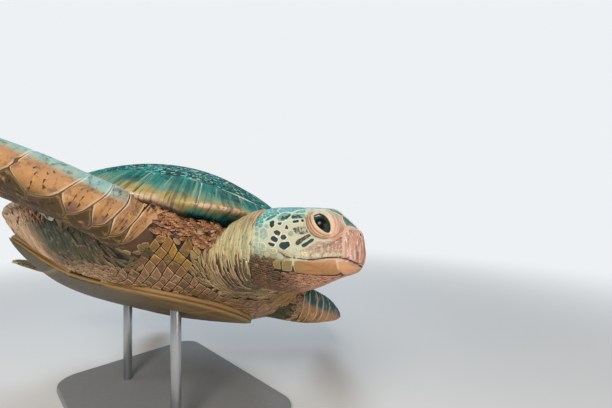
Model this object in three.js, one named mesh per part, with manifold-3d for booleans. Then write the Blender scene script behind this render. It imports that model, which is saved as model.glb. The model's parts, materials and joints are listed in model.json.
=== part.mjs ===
// Green sea turtle (Chelonia mydas), life size: an adult gliding with its right side up and its head level,
// held over a flat plate by two rods. Millimetres, +Z up, +X the way the turtle heads, +Y to its left.
// The origin is under the plate. The body has a frame of its own, with its origin inside the shell, which is
// banked and turned nose up; the head has another, turned to the left.
import * as THREE from 'three';
import { ParametricGeometry } from 'three/addons/geometries/ParametricGeometry.js';
import { mergeVertices } from 'three/addons/utils/BufferGeometryUtils.js';
import Module from 'manifold-3d';

const wasm = await Module();
wasm.setup();

// ---------- driving dimensions ----------
const shellUnit = 950; // the plan of the shell is drawn in shares of this; the shell is 0.98 of it long
const domeHeight = 206; // top of the shell over the body frame's origin
const hullDepth = 148; // underside of the shell below the body frame's origin
const rimThickness = 9; // marginal plates
const plastronThickness = 24;
const gap = 0.3; // left between pieces that touch

const bankAngle = THREE.MathUtils.degToRad(-25.4); // right side up
const noseUpAngle = THREE.MathUtils.degToRad(11.4);
const bodyHeight = 400; // the body frame's origin over the floor
const headYaw = THREE.MathUtils.degToRad(27); // to the turtle's left
const headPitch = THREE.MathUtils.degToRad(-5.5);
const headPlace = new THREE.Vector3(572, 16, -28); // the head frame's origin in the body frame
const occiput = -84; // where the head ends and the neck begins, along the head
const eyeRadius = 17.5;
const eyePlace = new THREE.Vector3(14, 35, 37); // in the head frame, mirrored for the other side

const baseLength = 620;
const baseWidth = 440;
const baseThickness = 18;
const baseCorner = 60;
const baseBevel = 3;
const rodRadius = 12;
const rodPlaces = { front: 165, rear: -185 }; // along the turtle's midline, in the body frame
const rodDepthInPlastron = 16;

const sides = { left: 1, right: -1 };

const colours = {
  carapace: 0x2f5a4c,
  plastron: 0xd8b884,
  skin: 0xb59a78,
  neck: 0xc2b078,
  head: 0xb9b39a,
  jaw: 0xd9c08c,
  forearm: 0xc9a070,
  blade: 0xb58a5c,
  hindBlade: 0x5d5744,
  eye: 0x15181a,
  claw: 0x6b5a40,
  plate: 0xd9d6cf,
  rod: 0x9a9b9c,
};

// ---------- tools ----------

// A smooth function through [place, value] pairs that never overshoots them (monotone cubic).
function through(pairs) {
  const slope = pairs.slice(1).map(([x, y], i) => (y - pairs[i][1]) / (x - pairs[i][0]));
  const tangent = pairs.map((_, i) => {
    if (i === 0 || i === pairs.length - 1) return slope[Math.min(i, slope.length - 1)];
    const [before, after] = [slope[i - 1], slope[i]];
    return before * after <= 0 ? 0 : (2 * before * after) / (before + after);
  });
  return (x) => {
    if (x <= pairs[0][0]) return pairs[0][1];
    if (x >= pairs.at(-1)[0]) return pairs.at(-1)[1];
    const i = pairs.findIndex(([place], k) => k > 0 && x <= place) - 1;
    const width = pairs[i + 1][0] - pairs[i][0];
    const t = (x - pairs[i][0]) / width;
    const start = pairs[i][1] * (1 + 2 * t) * (1 - t) ** 2 + tangent[i] * width * t * (1 - t) ** 2;
    const end = pairs[i + 1][1] * t * t * (3 - 2 * t) + tangent[i + 1] * width * t * t * (t - 1);
    return start + end;
  };
}

const smoothCurve = (points) =>
  new THREE.CatmullRomCurve3(points.map((p) => new THREE.Vector3(...p)), false, 'centripetal');

const signedPower = (value, power) => Math.sign(value) * Math.abs(value) ** power;

// A closed three.js geometry as a manifold-3d solid with its faces pointing out.
function solidOf(geometry) {
  const bare = geometry.clone();
  bare.deleteAttribute('normal');
  bare.deleteAttribute('uv');
  const merged = mergeVertices(bare, 1e-3);
  const corners = [];
  for (let i = 0; i < merged.index.count; i += 3) {
    const [a, b, c] = [0, 1, 2].map((k) => merged.index.getX(i + k));
    if (a !== b && b !== c && a !== c) corners.push(a, b, c);
  }
  const vertProperties = merged.attributes.position.array;
  const make = (triVerts) => new wasm.Manifold(new wasm.Mesh({ numProp: 3, vertProperties, triVerts }));
  const solid = make(new Uint32Array(corners));
  return solid.volume() > 0 ? solid : make(new Uint32Array(corners).reverse());
}

// A named mesh from a solid; slivers that a cut leaves loose are dropped.
function meshOf(solid, name, color, roughness, metalness = 0) {
  const main = solid.decompose().reduce((a, b) => (a.volume() >= b.volume() ? a : b));
  const { numProp, numVert, vertProperties, triVerts } = main.getMesh();
  const points = new Float32Array(numVert * 3);
  for (let i = 0; i < numVert; i++) {
    points.set(vertProperties.subarray(i * numProp, i * numProp + 3), i * 3);
  }
  const geometry = new THREE.BufferGeometry();
  geometry.setAttribute('position', new THREE.BufferAttribute(points, 3));
  geometry.setIndex(new THREE.BufferAttribute(triVerts, 1));
  geometry.computeVertexNormals();
  const mesh = new THREE.Mesh(geometry, new THREE.MeshStandardMaterial({ color, roughness, metalness }));
  mesh.name = name;
  return mesh;
}

// A large box that holds everything past a plane, in the direction's sense.
function beyondPlane(point, direction) {
  const reach = 1500;
  const box = new THREE.BoxGeometry(reach, reach, reach).translate(0, 0, reach / 2);
  const turn = new THREE.Quaternion().setFromUnitVectors(new THREE.Vector3(0, 0, 1), direction);
  box.applyQuaternion(turn).translate(point.x, point.y, point.z);
  return solidOf(box);
}

// Parts a solid at a plane with a thin cut: what lies before it, then what lies past it.
function partAt(solid, point, direction) {
  const unit = direction.clone().normalize();
  const before = solid.subtract(beyondPlane(point.clone().addScaledVector(unit, -gap / 2), unit));
  const past = solid.intersect(beyondPlane(point.clone().addScaledVector(unit, gap / 2), unit));
  return [before, past];
}

// A limb along a curve. width and thickness are half sizes over the share of its length; flat(t) is the
// direction that its flat side faces; lead makes the edge along flat x curve fuller than the other.
function limb({ curve, width, thickness, flat, lead = 0, slices, stacks, grow = 0 }) {
  const endRoundness = 6;
  const [along, side, up, centre] = [0, 1, 2, 3].map(() => new THREE.Vector3());
  const geometry = new ParametricGeometry(
    (u, v, target) => {
      const t = 0.5 - 0.5 * Math.cos(Math.PI * v);
      const angle = 2 * Math.PI * u;
      const closing = Math.sqrt(Math.max(0, 1 - Math.abs(2 * v - 1) ** endRoundness));
      curve.getPointAt(t, centre);
      curve.getTangentAt(t, along);
      side.crossVectors(flat(t), along).normalize();
      up.crossVectors(along, side);
      const across = Math.cos(angle) * (width(t) + grow) * closing;
      const over = Math.sin(angle) * (thickness(t) * (1 + lead * Math.cos(angle)) + grow) * closing;
      target.copy(centre).addScaledVector(side, across).addScaledVector(up, over);
    },
    slices,
    stacks,
  );
  return solidOf(geometry);
}

// ---------- shell and trunk, in the body frame ----------

// A closed outline in plan from the points of its left half, front to rear, in shares of shellUnit.
function planOutline(half) {
  const left = half.map(([x, y]) => new THREE.Vector3(x * shellUnit, y * shellUnit, 0));
  const right = left.slice(1, -1).reverse().map((p) => new THREE.Vector3(p.x, -p.y, 0));
  return new THREE.CatmullRomCurve3([...left, ...right], true, 'centripetal');
}

const shellOutline = planOutline([
  [0.48, 0], [0.483, 0.06], [0.455, 0.155], [0.385, 0.245], [0.27, 0.325], [0.1, 0.382],
  [-0.06, 0.392], [-0.22, 0.345], [-0.36, 0.235], [-0.46, 0.1], [-0.5, 0],
]);
const plastronOutline = planOutline([
  [0.355, 0], [0.345, 0.07], [0.305, 0.13], [0.235, 0.175], [0.17, 0.212], [0.1, 0.255], [0.035, 0.315],
  [-0.05, 0.352], [-0.14, 0.345], [-0.19, 0.22], [-0.27, 0.145], [-0.37, 0.085], [-0.41, 0],
]);
const fleshOutline = planOutline([
  [0.4785, 0], [0.4815, 0.06], [0.4535, 0.1545], [0.384, 0.244], [0.269, 0.3235], [0.0995, 0.38],
  [-0.06, 0.388], [-0.218, 0.337], [-0.35, 0.22], [-0.445, 0.095], [-0.475, 0],
]);
const shellCentre = new THREE.Vector3(-0.02 * shellUnit, 0, 0);

// Functions of the place along the shell, x over shellUnit.
const rimHeight = through([
  [-0.5, -6], [-0.25, -20], [0.05, -22], [0.27, -9], [0.385, -1], [0.44, -2], [0.485, 26],
]);
const hullHalfWidth = through([
  [-0.5, 70], [-0.46, 135], [-0.36, 260], [-0.22, 360], [-0.06, 402], [0.1, 396], [0.27, 348],
  [0.385, 280], [0.455, 205], [0.485, 140],
]);
const hullDepthShare = through([[-0.46, 0.52], [-0.3, 0.86], [0, 1], [0.25, 1], [0.4, 0.9], [0.46, 0.78]]);
const domeFullness = through([[-0.5, 1.75], [-0.2, 2.4], [0.1, 3.0], [0.48, 3.4]]);
const hullFullness = 3.4;

// Height of the underside over a point of the plan: flat in the middle and turned up to the rim.
function hullHeight(x, y) {
  const share = Math.min(1, Math.abs(y) / hullHalfWidth(x / shellUnit));
  return -hullDepth * hullDepthShare(x / shellUnit) * (1 - share ** hullFullness);
}

// A closed lens over an outline. top and bottom give heights over a place of the plan and its share of the
// way out from the centre, which is 1 on the outline. Rings crowd towards the outline.
function lens(outline, top, bottom, { slices, topRings, bottomRings, grow = 0 }) {
  const stacks = topRings + 1 + bottomRings; // one more for the edge between the two faces
  const edge = new THREE.Vector3();
  const geometry = new ParametricGeometry(
    (u, v, target) => {
      const ring = Math.round(v * stacks);
      const onTop = ring <= topRings;
      const step = onTop ? ring / topRings : (stacks - ring) / bottomRings;
      const share = Math.sin((step * Math.PI) / 2) ** 0.9;
      outline.getPointAt(u % 1, edge);
      target.copy(shellCentre).lerp(edge, share * (1 + grow / edge.distanceTo(shellCentre)));
      target.z = onTop ? top(target.x, target.y, share) + grow : bottom(target.x, target.y, share) - grow;
    },
    slices,
    stacks,
  );
  return solidOf(geometry);
}

function carapace(grow = 0) {
  const top = (x, y, share) => {
    const rim = rimHeight(x / shellUnit);
    return rim + (domeHeight - rim) * (1 - share ** domeFullness(x / shellUnit));
  };
  const edgeThinning = 0.5;
  const bottom = (x, y, share) =>
    rimHeight(x / shellUnit) * share ** 2 - rimThickness * (1 - edgeThinning * share ** 12);
  return lens(shellOutline, top, bottom, { slices: 50, topRings: 8, bottomRings: 2, grow });
}

function plastron(grow = 0) {
  const edgeThickness = 0.14; // share of the full thickness left at the plate's edge
  const top = (x, y, share) =>
    hullHeight(x, y) + plastronThickness * Math.max(edgeThickness, Math.sqrt(1 - Math.min(1, share) ** 8));
  return lens(plastronOutline, top, hullHeight, { slices: 40, topRings: 3, bottomRings: 6, grow });
}

function trunkFlesh(grow = 0) {
  const recess = 5; // the flesh lies this far inside the plastron's outer face
  const fullness = through([[-0.3, 5], [0.1, 9], [0.25, 9], [0.42, 6]]);
  const top = (x, y, share) => rimHeight(x / shellUnit) * share ** 2 - 2 + 20 * (1 - share);
  const bottom = (x, y, share) => {
    const rim = rimHeight(x / shellUnit) - rimThickness;
    const closing = Math.sqrt(1 - Math.min(1, share) ** fullness(x / shellUnit));
    return rim + (hullHeight(x, y) + recess - rim) * closing;
  };
  return lens(fleshOutline, top, bottom, { slices: 34, topRings: 1, bottomRings: 7, grow });
}

// ---------- head and neck ----------

const xAxis = new THREE.Vector3(1, 0, 0);
const yAxis = new THREE.Vector3(0, 1, 0);
const zAxis = new THREE.Vector3(0, 0, 1);
const turnAbout = (axis, angle) => new THREE.Quaternion().setFromAxisAngle(axis, angle);
const unscaled = new THREE.Vector3(1, 1, 1);

const bodyTurn = turnAbout(yAxis, -noseUpAngle).multiply(turnAbout(xAxis, bankAngle));
const bodyMatrix = new THREE.Matrix4().compose(new THREE.Vector3(0, 0, bodyHeight), bodyTurn, unscaled);
const levelHeadTurn = turnAbout(zAxis, headYaw).multiply(turnAbout(yAxis, -headPitch));
const headTurn = bodyTurn.clone().invert().multiply(levelHeadTurn);
const headMatrix = new THREE.Matrix4().compose(headPlace, headTurn, unscaled);
const fromHead = (x, y, z) => new THREE.Vector3(x, y, z).applyMatrix4(headMatrix);
const headForward = xAxis.clone().applyQuaternion(headTurn);
const headUp = zAxis.clone().applyQuaternion(headTurn);

// The head's profile and half width over x in the head frame, from inside the neck to the beak.
const headTop = through([
  [-120, 50], [-85, 56], [-50, 60], [-15, 63], [12, 64.5], [28, 62.5], [42, 55.5], [56, 46], [68, 36],
  [78, 24], [84, 5],
]);
const headBottom = through([
  [-120, -80], [-85, -82], [-50, -82], [-15, -78], [10, -69], [34, -55], [52, -44], [66, -37.5],
  [78, -32], [84, -20],
]);
const headHalfWidth = through([
  [-120, 62], [-85, 66], [-50, 68], [-20, 64], [10, 55], [32, 46], [52, 36], [67, 27], [79, 15], [84, 5],
]);

function headLoft() {
  const [back, beak] = [-120, 85];
  const widestLevel = -10;
  const squareness = 0.85; // 1 is an ellipse, less is squarer
  const geometry = new ParametricGeometry(
    (u, v, target) => {
      const x = back + (beak - back) * v ** 0.9;
      const closing = Math.sqrt(Math.max(0, 1 - Math.abs(2 * v - 1) ** 30));
      const angle = 2 * Math.PI * u;
      const reach = (Math.sin(angle) >= 0 ? headTop(x) : headBottom(x)) - widestLevel;
      const across = signedPower(Math.cos(angle), squareness) * headHalfWidth(x);
      const over = Math.abs(Math.sin(angle)) ** squareness * reach;
      target.set(x, across * closing, widestLevel + over * closing);
    },
    24,
    21,
  );
  return solidOf(geometry.applyMatrix4(headMatrix));
}

// The slit between the jaws: along the beak's edge to the corner of the mouth, then down the throat.
function mouthSlit() {
  const line = [
    [105, -27], [84, -26], [74, -20], [58, -13], [40, -9], [15, -9], [-12, -12], [-34, -8], [-50, -8],
    [-68, -34], [-78, -75], [-82, -110],
  ].map(([x, z]) => new THREE.Vector2(x, z));
  const steps = 24;
  const width = 240;
  const middle = new THREE.SplineCurve(line).getPoints(steps);
  const edge = (side) =>
    middle.map((p, i) => {
      const ahead = middle[Math.min(steps, i + 1)].clone().sub(middle[Math.max(0, i - 1)]).normalize();
      return new THREE.Vector2(p.x - (ahead.y * side * gap) / 2, p.y + (ahead.x * side * gap) / 2);
    });
  const shape = new THREE.Shape([...edge(1), ...edge(-1).reverse()]);
  const slit = new THREE.ExtrudeGeometry(shape, { depth: width, bevelEnabled: false });
  slit.rotateX(Math.PI / 2).translate(0, width / 2, 0);
  return solidOf(slit.applyMatrix4(headMatrix));
}

function eyeball(side, grow = 0) {
  const eye = new THREE.SphereGeometry(eyeRadius + grow, 14, 10);
  eye.translate(eyePlace.x, eyePlace.y * side, eyePlace.z);
  return solidOf(eye.applyMatrix4(headMatrix));
}

function neckLoft(grow = 0) {
  const inHead = fromHead(occiput + 34, 0, -12);
  return limb({
    curve: smoothCurve([
      [230, 0, -44],
      [340, -2, -44],
      [425, -14, -44],
      fromHead(occiput - 22, 0, -16).toArray(),
      fromHead(occiput + 12, 0, -12).toArray(),
      inHead.toArray(),
    ]),
    width: through([[0, 120], [0.3, 112], [0.5, 90], [0.72, 70], [1, 66]]),
    thickness: through([[0, 62], [0.3, 62], [0.55, 64], [0.75, 66], [1, 67]]),
    flat: (t) => zAxis.clone().lerp(headUp, THREE.MathUtils.smoothstep(t, 0.35, 0.85)),
    slices: 24,
    stacks: 12,
    grow,
  });
}

// ---------- flippers, tail and claws, in the body frame ----------

const leadingEdge = (name) => -sides[name]; // which way the leading edge lies along flat x curve
const edgeFullness = 0.3;

// The left front flipper's spine from inside the trunk over the elbow to the tip.
const foreSpine = [
  [190, 90, -62], [255, 118, -68], [312, 160, -72], [344, 212, -73], [344, 268, -68], [312, 332, -56],
  [256, 405, -42], [184, 482, -24], [102, 562, -2], [10, 640, 22],
];
const elbowIndex = 3; // in foreSpine
const foreShift = { left: new THREE.Vector3(-38, 0, 4), right: new THREE.Vector3(-12, 0, 29) };
const forePitch = { left: -0.3, right: 0.32 }; // rise of the leading edge over the chord
const foreCuts = { elbow: 0.34, wrist: 0.52 }; // shares of the flipper's length
const foreHalfWidth = through([
  [0, 60], [0.15, 62], [0.28, 57], [0.36, 58], [0.46, 70], [0.58, 77], [0.73, 66], [0.87, 44],
  [0.96, 25], [1, 12],
]);
const foreThickness = through([
  [0, 52], [0.15, 51], [0.28, 44], [0.38, 37], [0.5, 28], [0.65, 18], [0.85, 9], [1, 4],
]);
const foreClaw = { share: 0.7, size: 20 };

// Both front flippers leave the trunk alike, and are shifted from the elbow on.
function foreCurve(name) {
  return smoothCurve(
    foreSpine.map(([x, y, z], i) => {
      const share = THREE.MathUtils.smoothstep(i, 0, elbowIndex);
      return new THREE.Vector3(x, y * sides[name], z).addScaledVector(foreShift[name], share).toArray();
    }),
  );
}

// The direction that a front flipper's flat side faces: level at the shoulder, pitched past the elbow.
function foreFlat(name, t) {
  const pitch = forePitch[name] * THREE.MathUtils.smoothstep(t, 0, foreCuts.elbow);
  return new THREE.Vector3(-0.8 * pitch, -0.6 * pitch * sides[name], 1).normalize();
}

function foreFlipper(name) {
  return limb({
    curve: foreCurve(name),
    width: foreHalfWidth,
    thickness: foreThickness,
    flat: (t) => foreFlat(name, t),
    lead: leadingEdge(name) * edgeFullness,
    slices: 16,
    stacks: 22,
  });
}

const hindSpine = [
  [-265, 92, -52], [-335, 132, -58], [-400, 172, -62], [-466, 210, -62], [-530, 244, -58], [-588, 268, -52],
];
const hindCut = 0.45; // share of the hind flipper's length where the leg ends
const hindHalfWidth = through([[0, 50], [0.3, 46], [0.5, 54], [0.72, 66], [0.88, 56], [0.96, 38], [1, 20]]);
const hindThickness = through([[0, 40], [0.3, 34], [0.5, 22], [0.75, 12], [1, 4]]);
const hindClaw = { share: 0.74, size: 16 };
const hindCurve = (name) => smoothCurve(hindSpine.map(([x, y, z]) => [x, y * sides[name], z]));
const hindFlat = (name) => new THREE.Vector3(0.12, 0.2 * sides[name], 1).normalize();

function hindFlipper(name) {
  return limb({
    curve: hindCurve(name),
    width: hindHalfWidth,
    thickness: hindThickness,
    flat: () => hindFlat(name),
    lead: leadingEdge(name) * edgeFullness,
    slices: 14,
    stacks: 14,
  });
}

function tailLoft() {
  return limb({
    curve: smoothCurve([[-330, 0, -48], [-420, 0, -54], [-490, 0, -62], [-545, 0, -72]]),
    width: through([[0, 60], [0.4, 46], [0.7, 24], [1, 7]]),
    thickness: through([[0, 36], [0.4, 28], [0.7, 18], [1, 6]]),
    flat: () => zAxis,
    slices: 12,
    stacks: 8,
  });
}

// A short bent claw that stands out of a flipper's leading edge, at a share of the flipper's length.
function claw(name, curve, { share, size }, edgeDistance, flat) {
  const along = curve.getTangentAt(share);
  const outward = flat.clone().cross(along).normalize().multiplyScalar(leadingEdge(name));
  const root = curve.getPointAt(share).addScaledVector(outward, edgeDistance - 0.35 * size);
  const tip = root.clone().addScaledVector(outward, 1.15 * size).addScaledVector(along, 0.45 * size);
  const bend = root.clone().lerp(tip, 0.55).addScaledVector(outward, 0.16 * size);
  return limb({
    curve: smoothCurve([root, bend, tip].map((p) => p.toArray())),
    width: through([[0, 0.34 * size], [0.5, 0.27 * size], [1, 0.07 * size]]),
    thickness: through([[0, 0.24 * size], [0.5, 0.2 * size], [1, 0.06 * size]]),
    flat: () => flat,
    slices: 7,
    stacks: 5,
  });
}

// ---------- stand ----------

// A rod from the plate into the plastron; grow gives the hole that it stands in.
function standRod(place, grow = 0) {
  const seat = new THREE.Vector3(place, 0, hullHeight(place, 0)).applyMatrix4(bodyMatrix);
  const foot = baseThickness + gap;
  const top = seat.z + rodDepthInPlastron + grow;
  const radius = rodRadius + grow;
  const cylinder = new THREE.CylinderGeometry(radius, radius, top - foot, 18);
  cylinder.rotateX(Math.PI / 2).translate(seat.x, seat.y, (top + foot) / 2);
  return solidOf(cylinder);
}

function standBase() {
  const [x, y] = [baseLength / 2 - baseCorner, baseWidth / 2 - baseCorner];
  const quarter = Math.PI / 2;
  const shape = new THREE.Shape();
  [[x, -y], [x, y], [-x, y], [-x, -y]].forEach(([cornerX, cornerY], i) => {
    shape.absarc(cornerX, cornerY, baseCorner, (i - 1) * quarter, i * quarter);
  });
  const plate = new THREE.ExtrudeGeometry(shape, {
    depth: baseThickness - baseBevel,
    bevelEnabled: true,
    bevelSize: baseBevel,
    bevelOffset: -baseBevel,
    bevelThickness: baseBevel,
    bevelSegments: 1,
    curveSegments: 6,
  });
  return solidOf(plate).subtract(beyondPlane(new THREE.Vector3(), zAxis.clone().negate()));
}

// ---------- the pieces ----------

const object = new THREE.Group();
const body = new THREE.Group();
body.applyMatrix4(bodyMatrix);
object.add(body);

// Shell: the carapace is whole, the plastron is cut back by it and holds the rods.
const intoBody = bodyMatrix.clone().invert().toArray();
const rodHoles = Object.values(rodPlaces)
  .map((place) => standRod(place, gap).transform(intoBody))
  .reduce((all, hole) => all.add(hole));
const shellCutter = carapace(gap);
const plates = shellCutter.add(plastron(gap));
body.add(meshOf(carapace(), 'carapace', colours.carapace, 0.4));
body.add(meshOf(plastron().subtract(shellCutter).subtract(rodHoles), 'plastron', colours.plastron, 0.45));

// Head: one loft, parted from the neck at a plane and by the mouth's slit into head and lower jaw.
const neckEnd = fromHead(occiput, 0, 0);
const sockets = eyeball(sides.left, gap).add(eyeball(sides.right, gap));
const wholeHead = partAt(headLoft(), neckEnd, headForward)[1].subtract(sockets);
const jaws = wholeHead.subtract(mouthSlit()).decompose().sort((a, b) => b.volume() - a.volume());
body.add(meshOf(jaws[0], 'head', colours.head, 0.45));
body.add(meshOf(jaws[1], 'lower_jaw', colours.jaw, 0.45));
for (const [name, side] of Object.entries(sides)) {
  body.add(meshOf(eyeball(side), `eye_${name}`, colours.eye, 0.08));
}

// Trunk and neck: the neck's root belongs to the trunk.
const neckRoot = new THREE.Vector3(418, -14, -36);
const neckAxis = new THREE.Vector3(1, -0.12, 0);
const neckSolid = partAt(neckLoft(), neckEnd, headForward)[0];
const [rootOfNeck, neck] = partAt(neckSolid.subtract(plates), neckRoot, neckAxis);
const trunk = partAt(trunkFlesh().subtract(plates).add(rootOfNeck), neckRoot, neckAxis)[0];
body.add(meshOf(trunk.subtract(rodHoles), 'trunk', colours.skin, 0.6));
body.add(meshOf(neck, 'neck', colours.neck, 0.6));

// Limbs: cut back by the trunk, then parted where their parts meet.
const trunkCutter = trunkFlesh(gap).add(plates).add(neckLoft(gap));
for (const name of Object.keys(sides)) {
  const curve = foreCurve(name);
  const { elbow, wrist } = foreCuts;
  const flipper = foreFlipper(name).subtract(trunkCutter);
  const [arm, beyond] = partAt(flipper, curve.getPointAt(elbow), curve.getTangentAt(elbow));
  const [forearm, blade] = partAt(beyond, curve.getPointAt(wrist), curve.getTangentAt(wrist));
  const edgeDistance = foreHalfWidth(foreClaw.share);
  const horn = claw(name, curve, foreClaw, edgeDistance, foreFlat(name, foreClaw.share)).subtract(blade);
  body.add(meshOf(arm, `upper_arm_${name}`, colours.skin, 0.6));
  body.add(meshOf(forearm, `forearm_${name}`, colours.forearm, 0.5));
  body.add(meshOf(blade, `front_flipper_${name}`, colours.blade, 0.5));
  body.add(meshOf(horn, `front_claw_${name}`, colours.claw, 0.35));
}
for (const name of Object.keys(sides)) {
  const curve = hindCurve(name);
  const flipper = hindFlipper(name).subtract(trunkCutter);
  const [leg, blade] = partAt(flipper, curve.getPointAt(hindCut), curve.getTangentAt(hindCut));
  const horn = claw(name, curve, hindClaw, hindHalfWidth(hindClaw.share), hindFlat(name)).subtract(blade);
  body.add(meshOf(leg, `hind_leg_${name}`, colours.skin, 0.6));
  body.add(meshOf(blade, `hind_flipper_${name}`, colours.hindBlade, 0.5));
  body.add(meshOf(horn, `hind_claw_${name}`, colours.claw, 0.35));
}
body.add(meshOf(tailLoft().subtract(trunkCutter), 'tail', colours.skin, 0.6));

// Stand, upright in the object's own frame.
object.add(meshOf(standBase(), 'stand_base', colours.plate, 0.5));
for (const [name, place] of Object.entries(rodPlaces)) {
  object.add(meshOf(standRod(place), `stand_rod_${name}`, colours.rod, 0.35, 1));
}

export default object;
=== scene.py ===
import json
import math

import bmesh
import bpy
import numpy as np
from mathutils import Matrix, Vector
from mathutils.bvhtree import BVHTree
from mathutils.kdtree import KDTree

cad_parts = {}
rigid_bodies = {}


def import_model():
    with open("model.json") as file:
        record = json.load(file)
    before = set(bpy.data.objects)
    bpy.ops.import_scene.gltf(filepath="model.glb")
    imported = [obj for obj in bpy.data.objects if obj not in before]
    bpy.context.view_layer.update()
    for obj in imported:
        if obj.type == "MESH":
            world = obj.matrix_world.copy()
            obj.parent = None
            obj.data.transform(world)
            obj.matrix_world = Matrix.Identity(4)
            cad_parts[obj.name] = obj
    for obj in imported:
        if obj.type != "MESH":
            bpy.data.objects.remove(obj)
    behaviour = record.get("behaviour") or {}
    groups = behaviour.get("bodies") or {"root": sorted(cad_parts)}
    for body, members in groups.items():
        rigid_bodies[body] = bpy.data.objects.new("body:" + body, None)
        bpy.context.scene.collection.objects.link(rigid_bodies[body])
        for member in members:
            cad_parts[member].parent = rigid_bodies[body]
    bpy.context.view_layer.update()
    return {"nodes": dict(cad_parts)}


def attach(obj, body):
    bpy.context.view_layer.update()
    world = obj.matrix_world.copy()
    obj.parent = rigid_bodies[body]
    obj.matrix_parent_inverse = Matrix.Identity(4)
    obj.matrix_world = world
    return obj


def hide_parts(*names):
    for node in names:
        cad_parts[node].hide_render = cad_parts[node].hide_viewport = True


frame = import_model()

chance = np.random.default_rng(11)

# The pose: the body's own frame, and the head's inside it. Both have +X forward and +Z up.
pose = {
    "bank": -25.4,
    "noseUp": 11.4,
    "bodyHeight": 0.4,
    "headYaw": 27.0,
    "noseDown": 5.5,
    "headPlace": (0.572, 0.016, -0.028),
    "headAxisLevel": -0.010,
}


def turned(axis, degrees):
    return Matrix.Rotation(math.radians(degrees), 4, axis)


bodyTurn = turned("Y", -pose["noseUp"]) @ turned("X", pose["bank"])
bodyFrame = Matrix.Translation((0, 0, pose["bodyHeight"])) @ bodyTurn
headTurn = turned("Z", pose["headYaw"]) @ turned("Y", pose["noseDown"])
headFrame = Matrix.Translation(bodyFrame @ Vector(pose["headPlace"])) @ headTurn

flesh = ["trunk", "neck", "head", "lower_jaw", "tail"] + [
    f"{part}_{side}"
    for part in ("upper_arm", "forearm", "front_flipper", "hind_leg", "hind_flipper")
    for side in ("left", "right")
]


# Small tools
def hexColour(text):  # "#rrggbb" as linear light
    values = np.array([int(text[i : i + 2], 16) / 255 for i in (1, 3, 5)])
    return np.where(values <= 0.04045, values / 12.92, ((values + 0.055) / 1.055) ** 2.4)


def ramp(value, low, high):  # 0 below low, 1 above high, smooth between; low may be the larger
    share = np.clip((value - low) / (high - low), 0, 1)
    return share * share * (3 - 2 * share)


def mixed(a, b, share):
    return a + (b - a) * np.asarray(share)[..., None]


def unit(vectors):
    return vectors / np.maximum(np.linalg.norm(vectors, axis=-1, keepdims=True), 1e-12)


def dot(a, b):
    return (a * b).sum(-1)


def moved(points, matrix):
    grid = np.array(matrix)
    return points @ grid[:3, :3].T + grid[:3, 3]


def inFrame(points, matrix):  # points of the world, seen from a frame
    return moved(points, matrix.inverted())


def turnedBy(vectors, matrix):
    return vectors @ np.array(matrix)[:3, :3].T


def newObject(name, mesh):
    piece = bpy.data.objects.new(name, mesh)
    bpy.context.scene.collection.objects.link(piece)
    return piece


def applyModifiers(piece):
    graph = bpy.context.evaluated_depsgraph_get()
    before = piece.data
    piece.data = bpy.data.meshes.new_from_object(piece.evaluated_get(graph))
    piece.data.name = piece.name
    piece.modifiers.clear()
    bpy.data.meshes.remove(before)


def shadeSmooth(mesh):
    mesh.polygons.foreach_set("use_smooth", np.ones(len(mesh.polygons), bool))


def readAll(items, key, width, kind=np.float32):
    values = np.empty(len(items) * width, kind)
    items.foreach_get(key, values)
    return values.reshape(-1, width)


def placesOf(mesh):
    return readAll(mesh.vertices, "co", 3).astype(float)


def setPlaces(mesh, places):
    mesh.vertices.foreach_set("co", places.astype(np.float32).ravel())
    mesh.update()


def normalsOf(mesh):
    return readAll(mesh.vertex_normals, "vector", 3).astype(float)


def edgesOf(mesh):
    return readAll(mesh.edges, "vertices", 2, np.int32)


def addLayer(mesh, name, values, kind="FLOAT"):  # one value for each vertex
    layer = mesh.attributes.new(name, kind, "POINT")
    key = {"FLOAT": "value", "FLOAT_VECTOR": "vector", "FLOAT_COLOR": "color"}[kind]
    layer.data.foreach_set(key, values.astype(np.float32).ravel())


def addColours(mesh, name, colours):
    opaque = np.concatenate([colours, np.ones_like(colours[..., :1])], -1)
    addLayer(mesh, name, opaque, "FLOAT_COLOR")


def newMesh(name, bm):  # a smooth mesh from a bmesh, which is freed
    mesh = bpy.data.meshes.new(name)
    bm.to_mesh(mesh)
    bm.free()
    shadeSmooth(mesh)
    return mesh


def opened(mesh):
    bm = bmesh.new()
    bm.from_mesh(mesh)
    return bm


def closed(bm, mesh):
    bm.to_mesh(mesh)
    bm.free()


def pointTree(points):
    tree = KDTree(len(points))
    for i, p in enumerate(points.tolist()):
        tree.insert(p, i)
    tree.balance()
    return tree


def closestIn(tree, points, count):  # for each point, the numbers of its closest neighbours
    return np.array([[f[1] for f in tree.find_n(p, count)] for p in points.tolist()])


def walkedAlong(line):  # the length walked at each point of a line
    return np.concatenate([[0], np.cumsum(np.linalg.norm(np.diff(line, axis=0), axis=1))])


def evenly(line, count, endpoint=True):  # a line drawn again with even steps
    walked = walkedAlong(line)
    steps = np.linspace(0, walked[-1], count, endpoint=endpoint)
    return np.stack([np.interp(steps, walked, column) for column in line.T], 1)


def tinted(colours, part, text, share):  # mixes a tint into the core (0) or edge (1) colours
    colours[..., part, :] = mixed(colours[..., part, :], hexColour(text), share)


def copyOf(name, nodes):  # one object from copies of CAD nodes, their loose triangles merged
    bm = bmesh.new()
    for node in nodes:
        bm.from_mesh(frame["nodes"][node].data)
    bmesh.ops.remove_doubles(bm, verts=bm.verts, dist=1e-5)
    mesh = bpy.data.meshes.new(name)
    bm.to_mesh(mesh)
    bm.free()
    return newObject(name, mesh)


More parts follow.
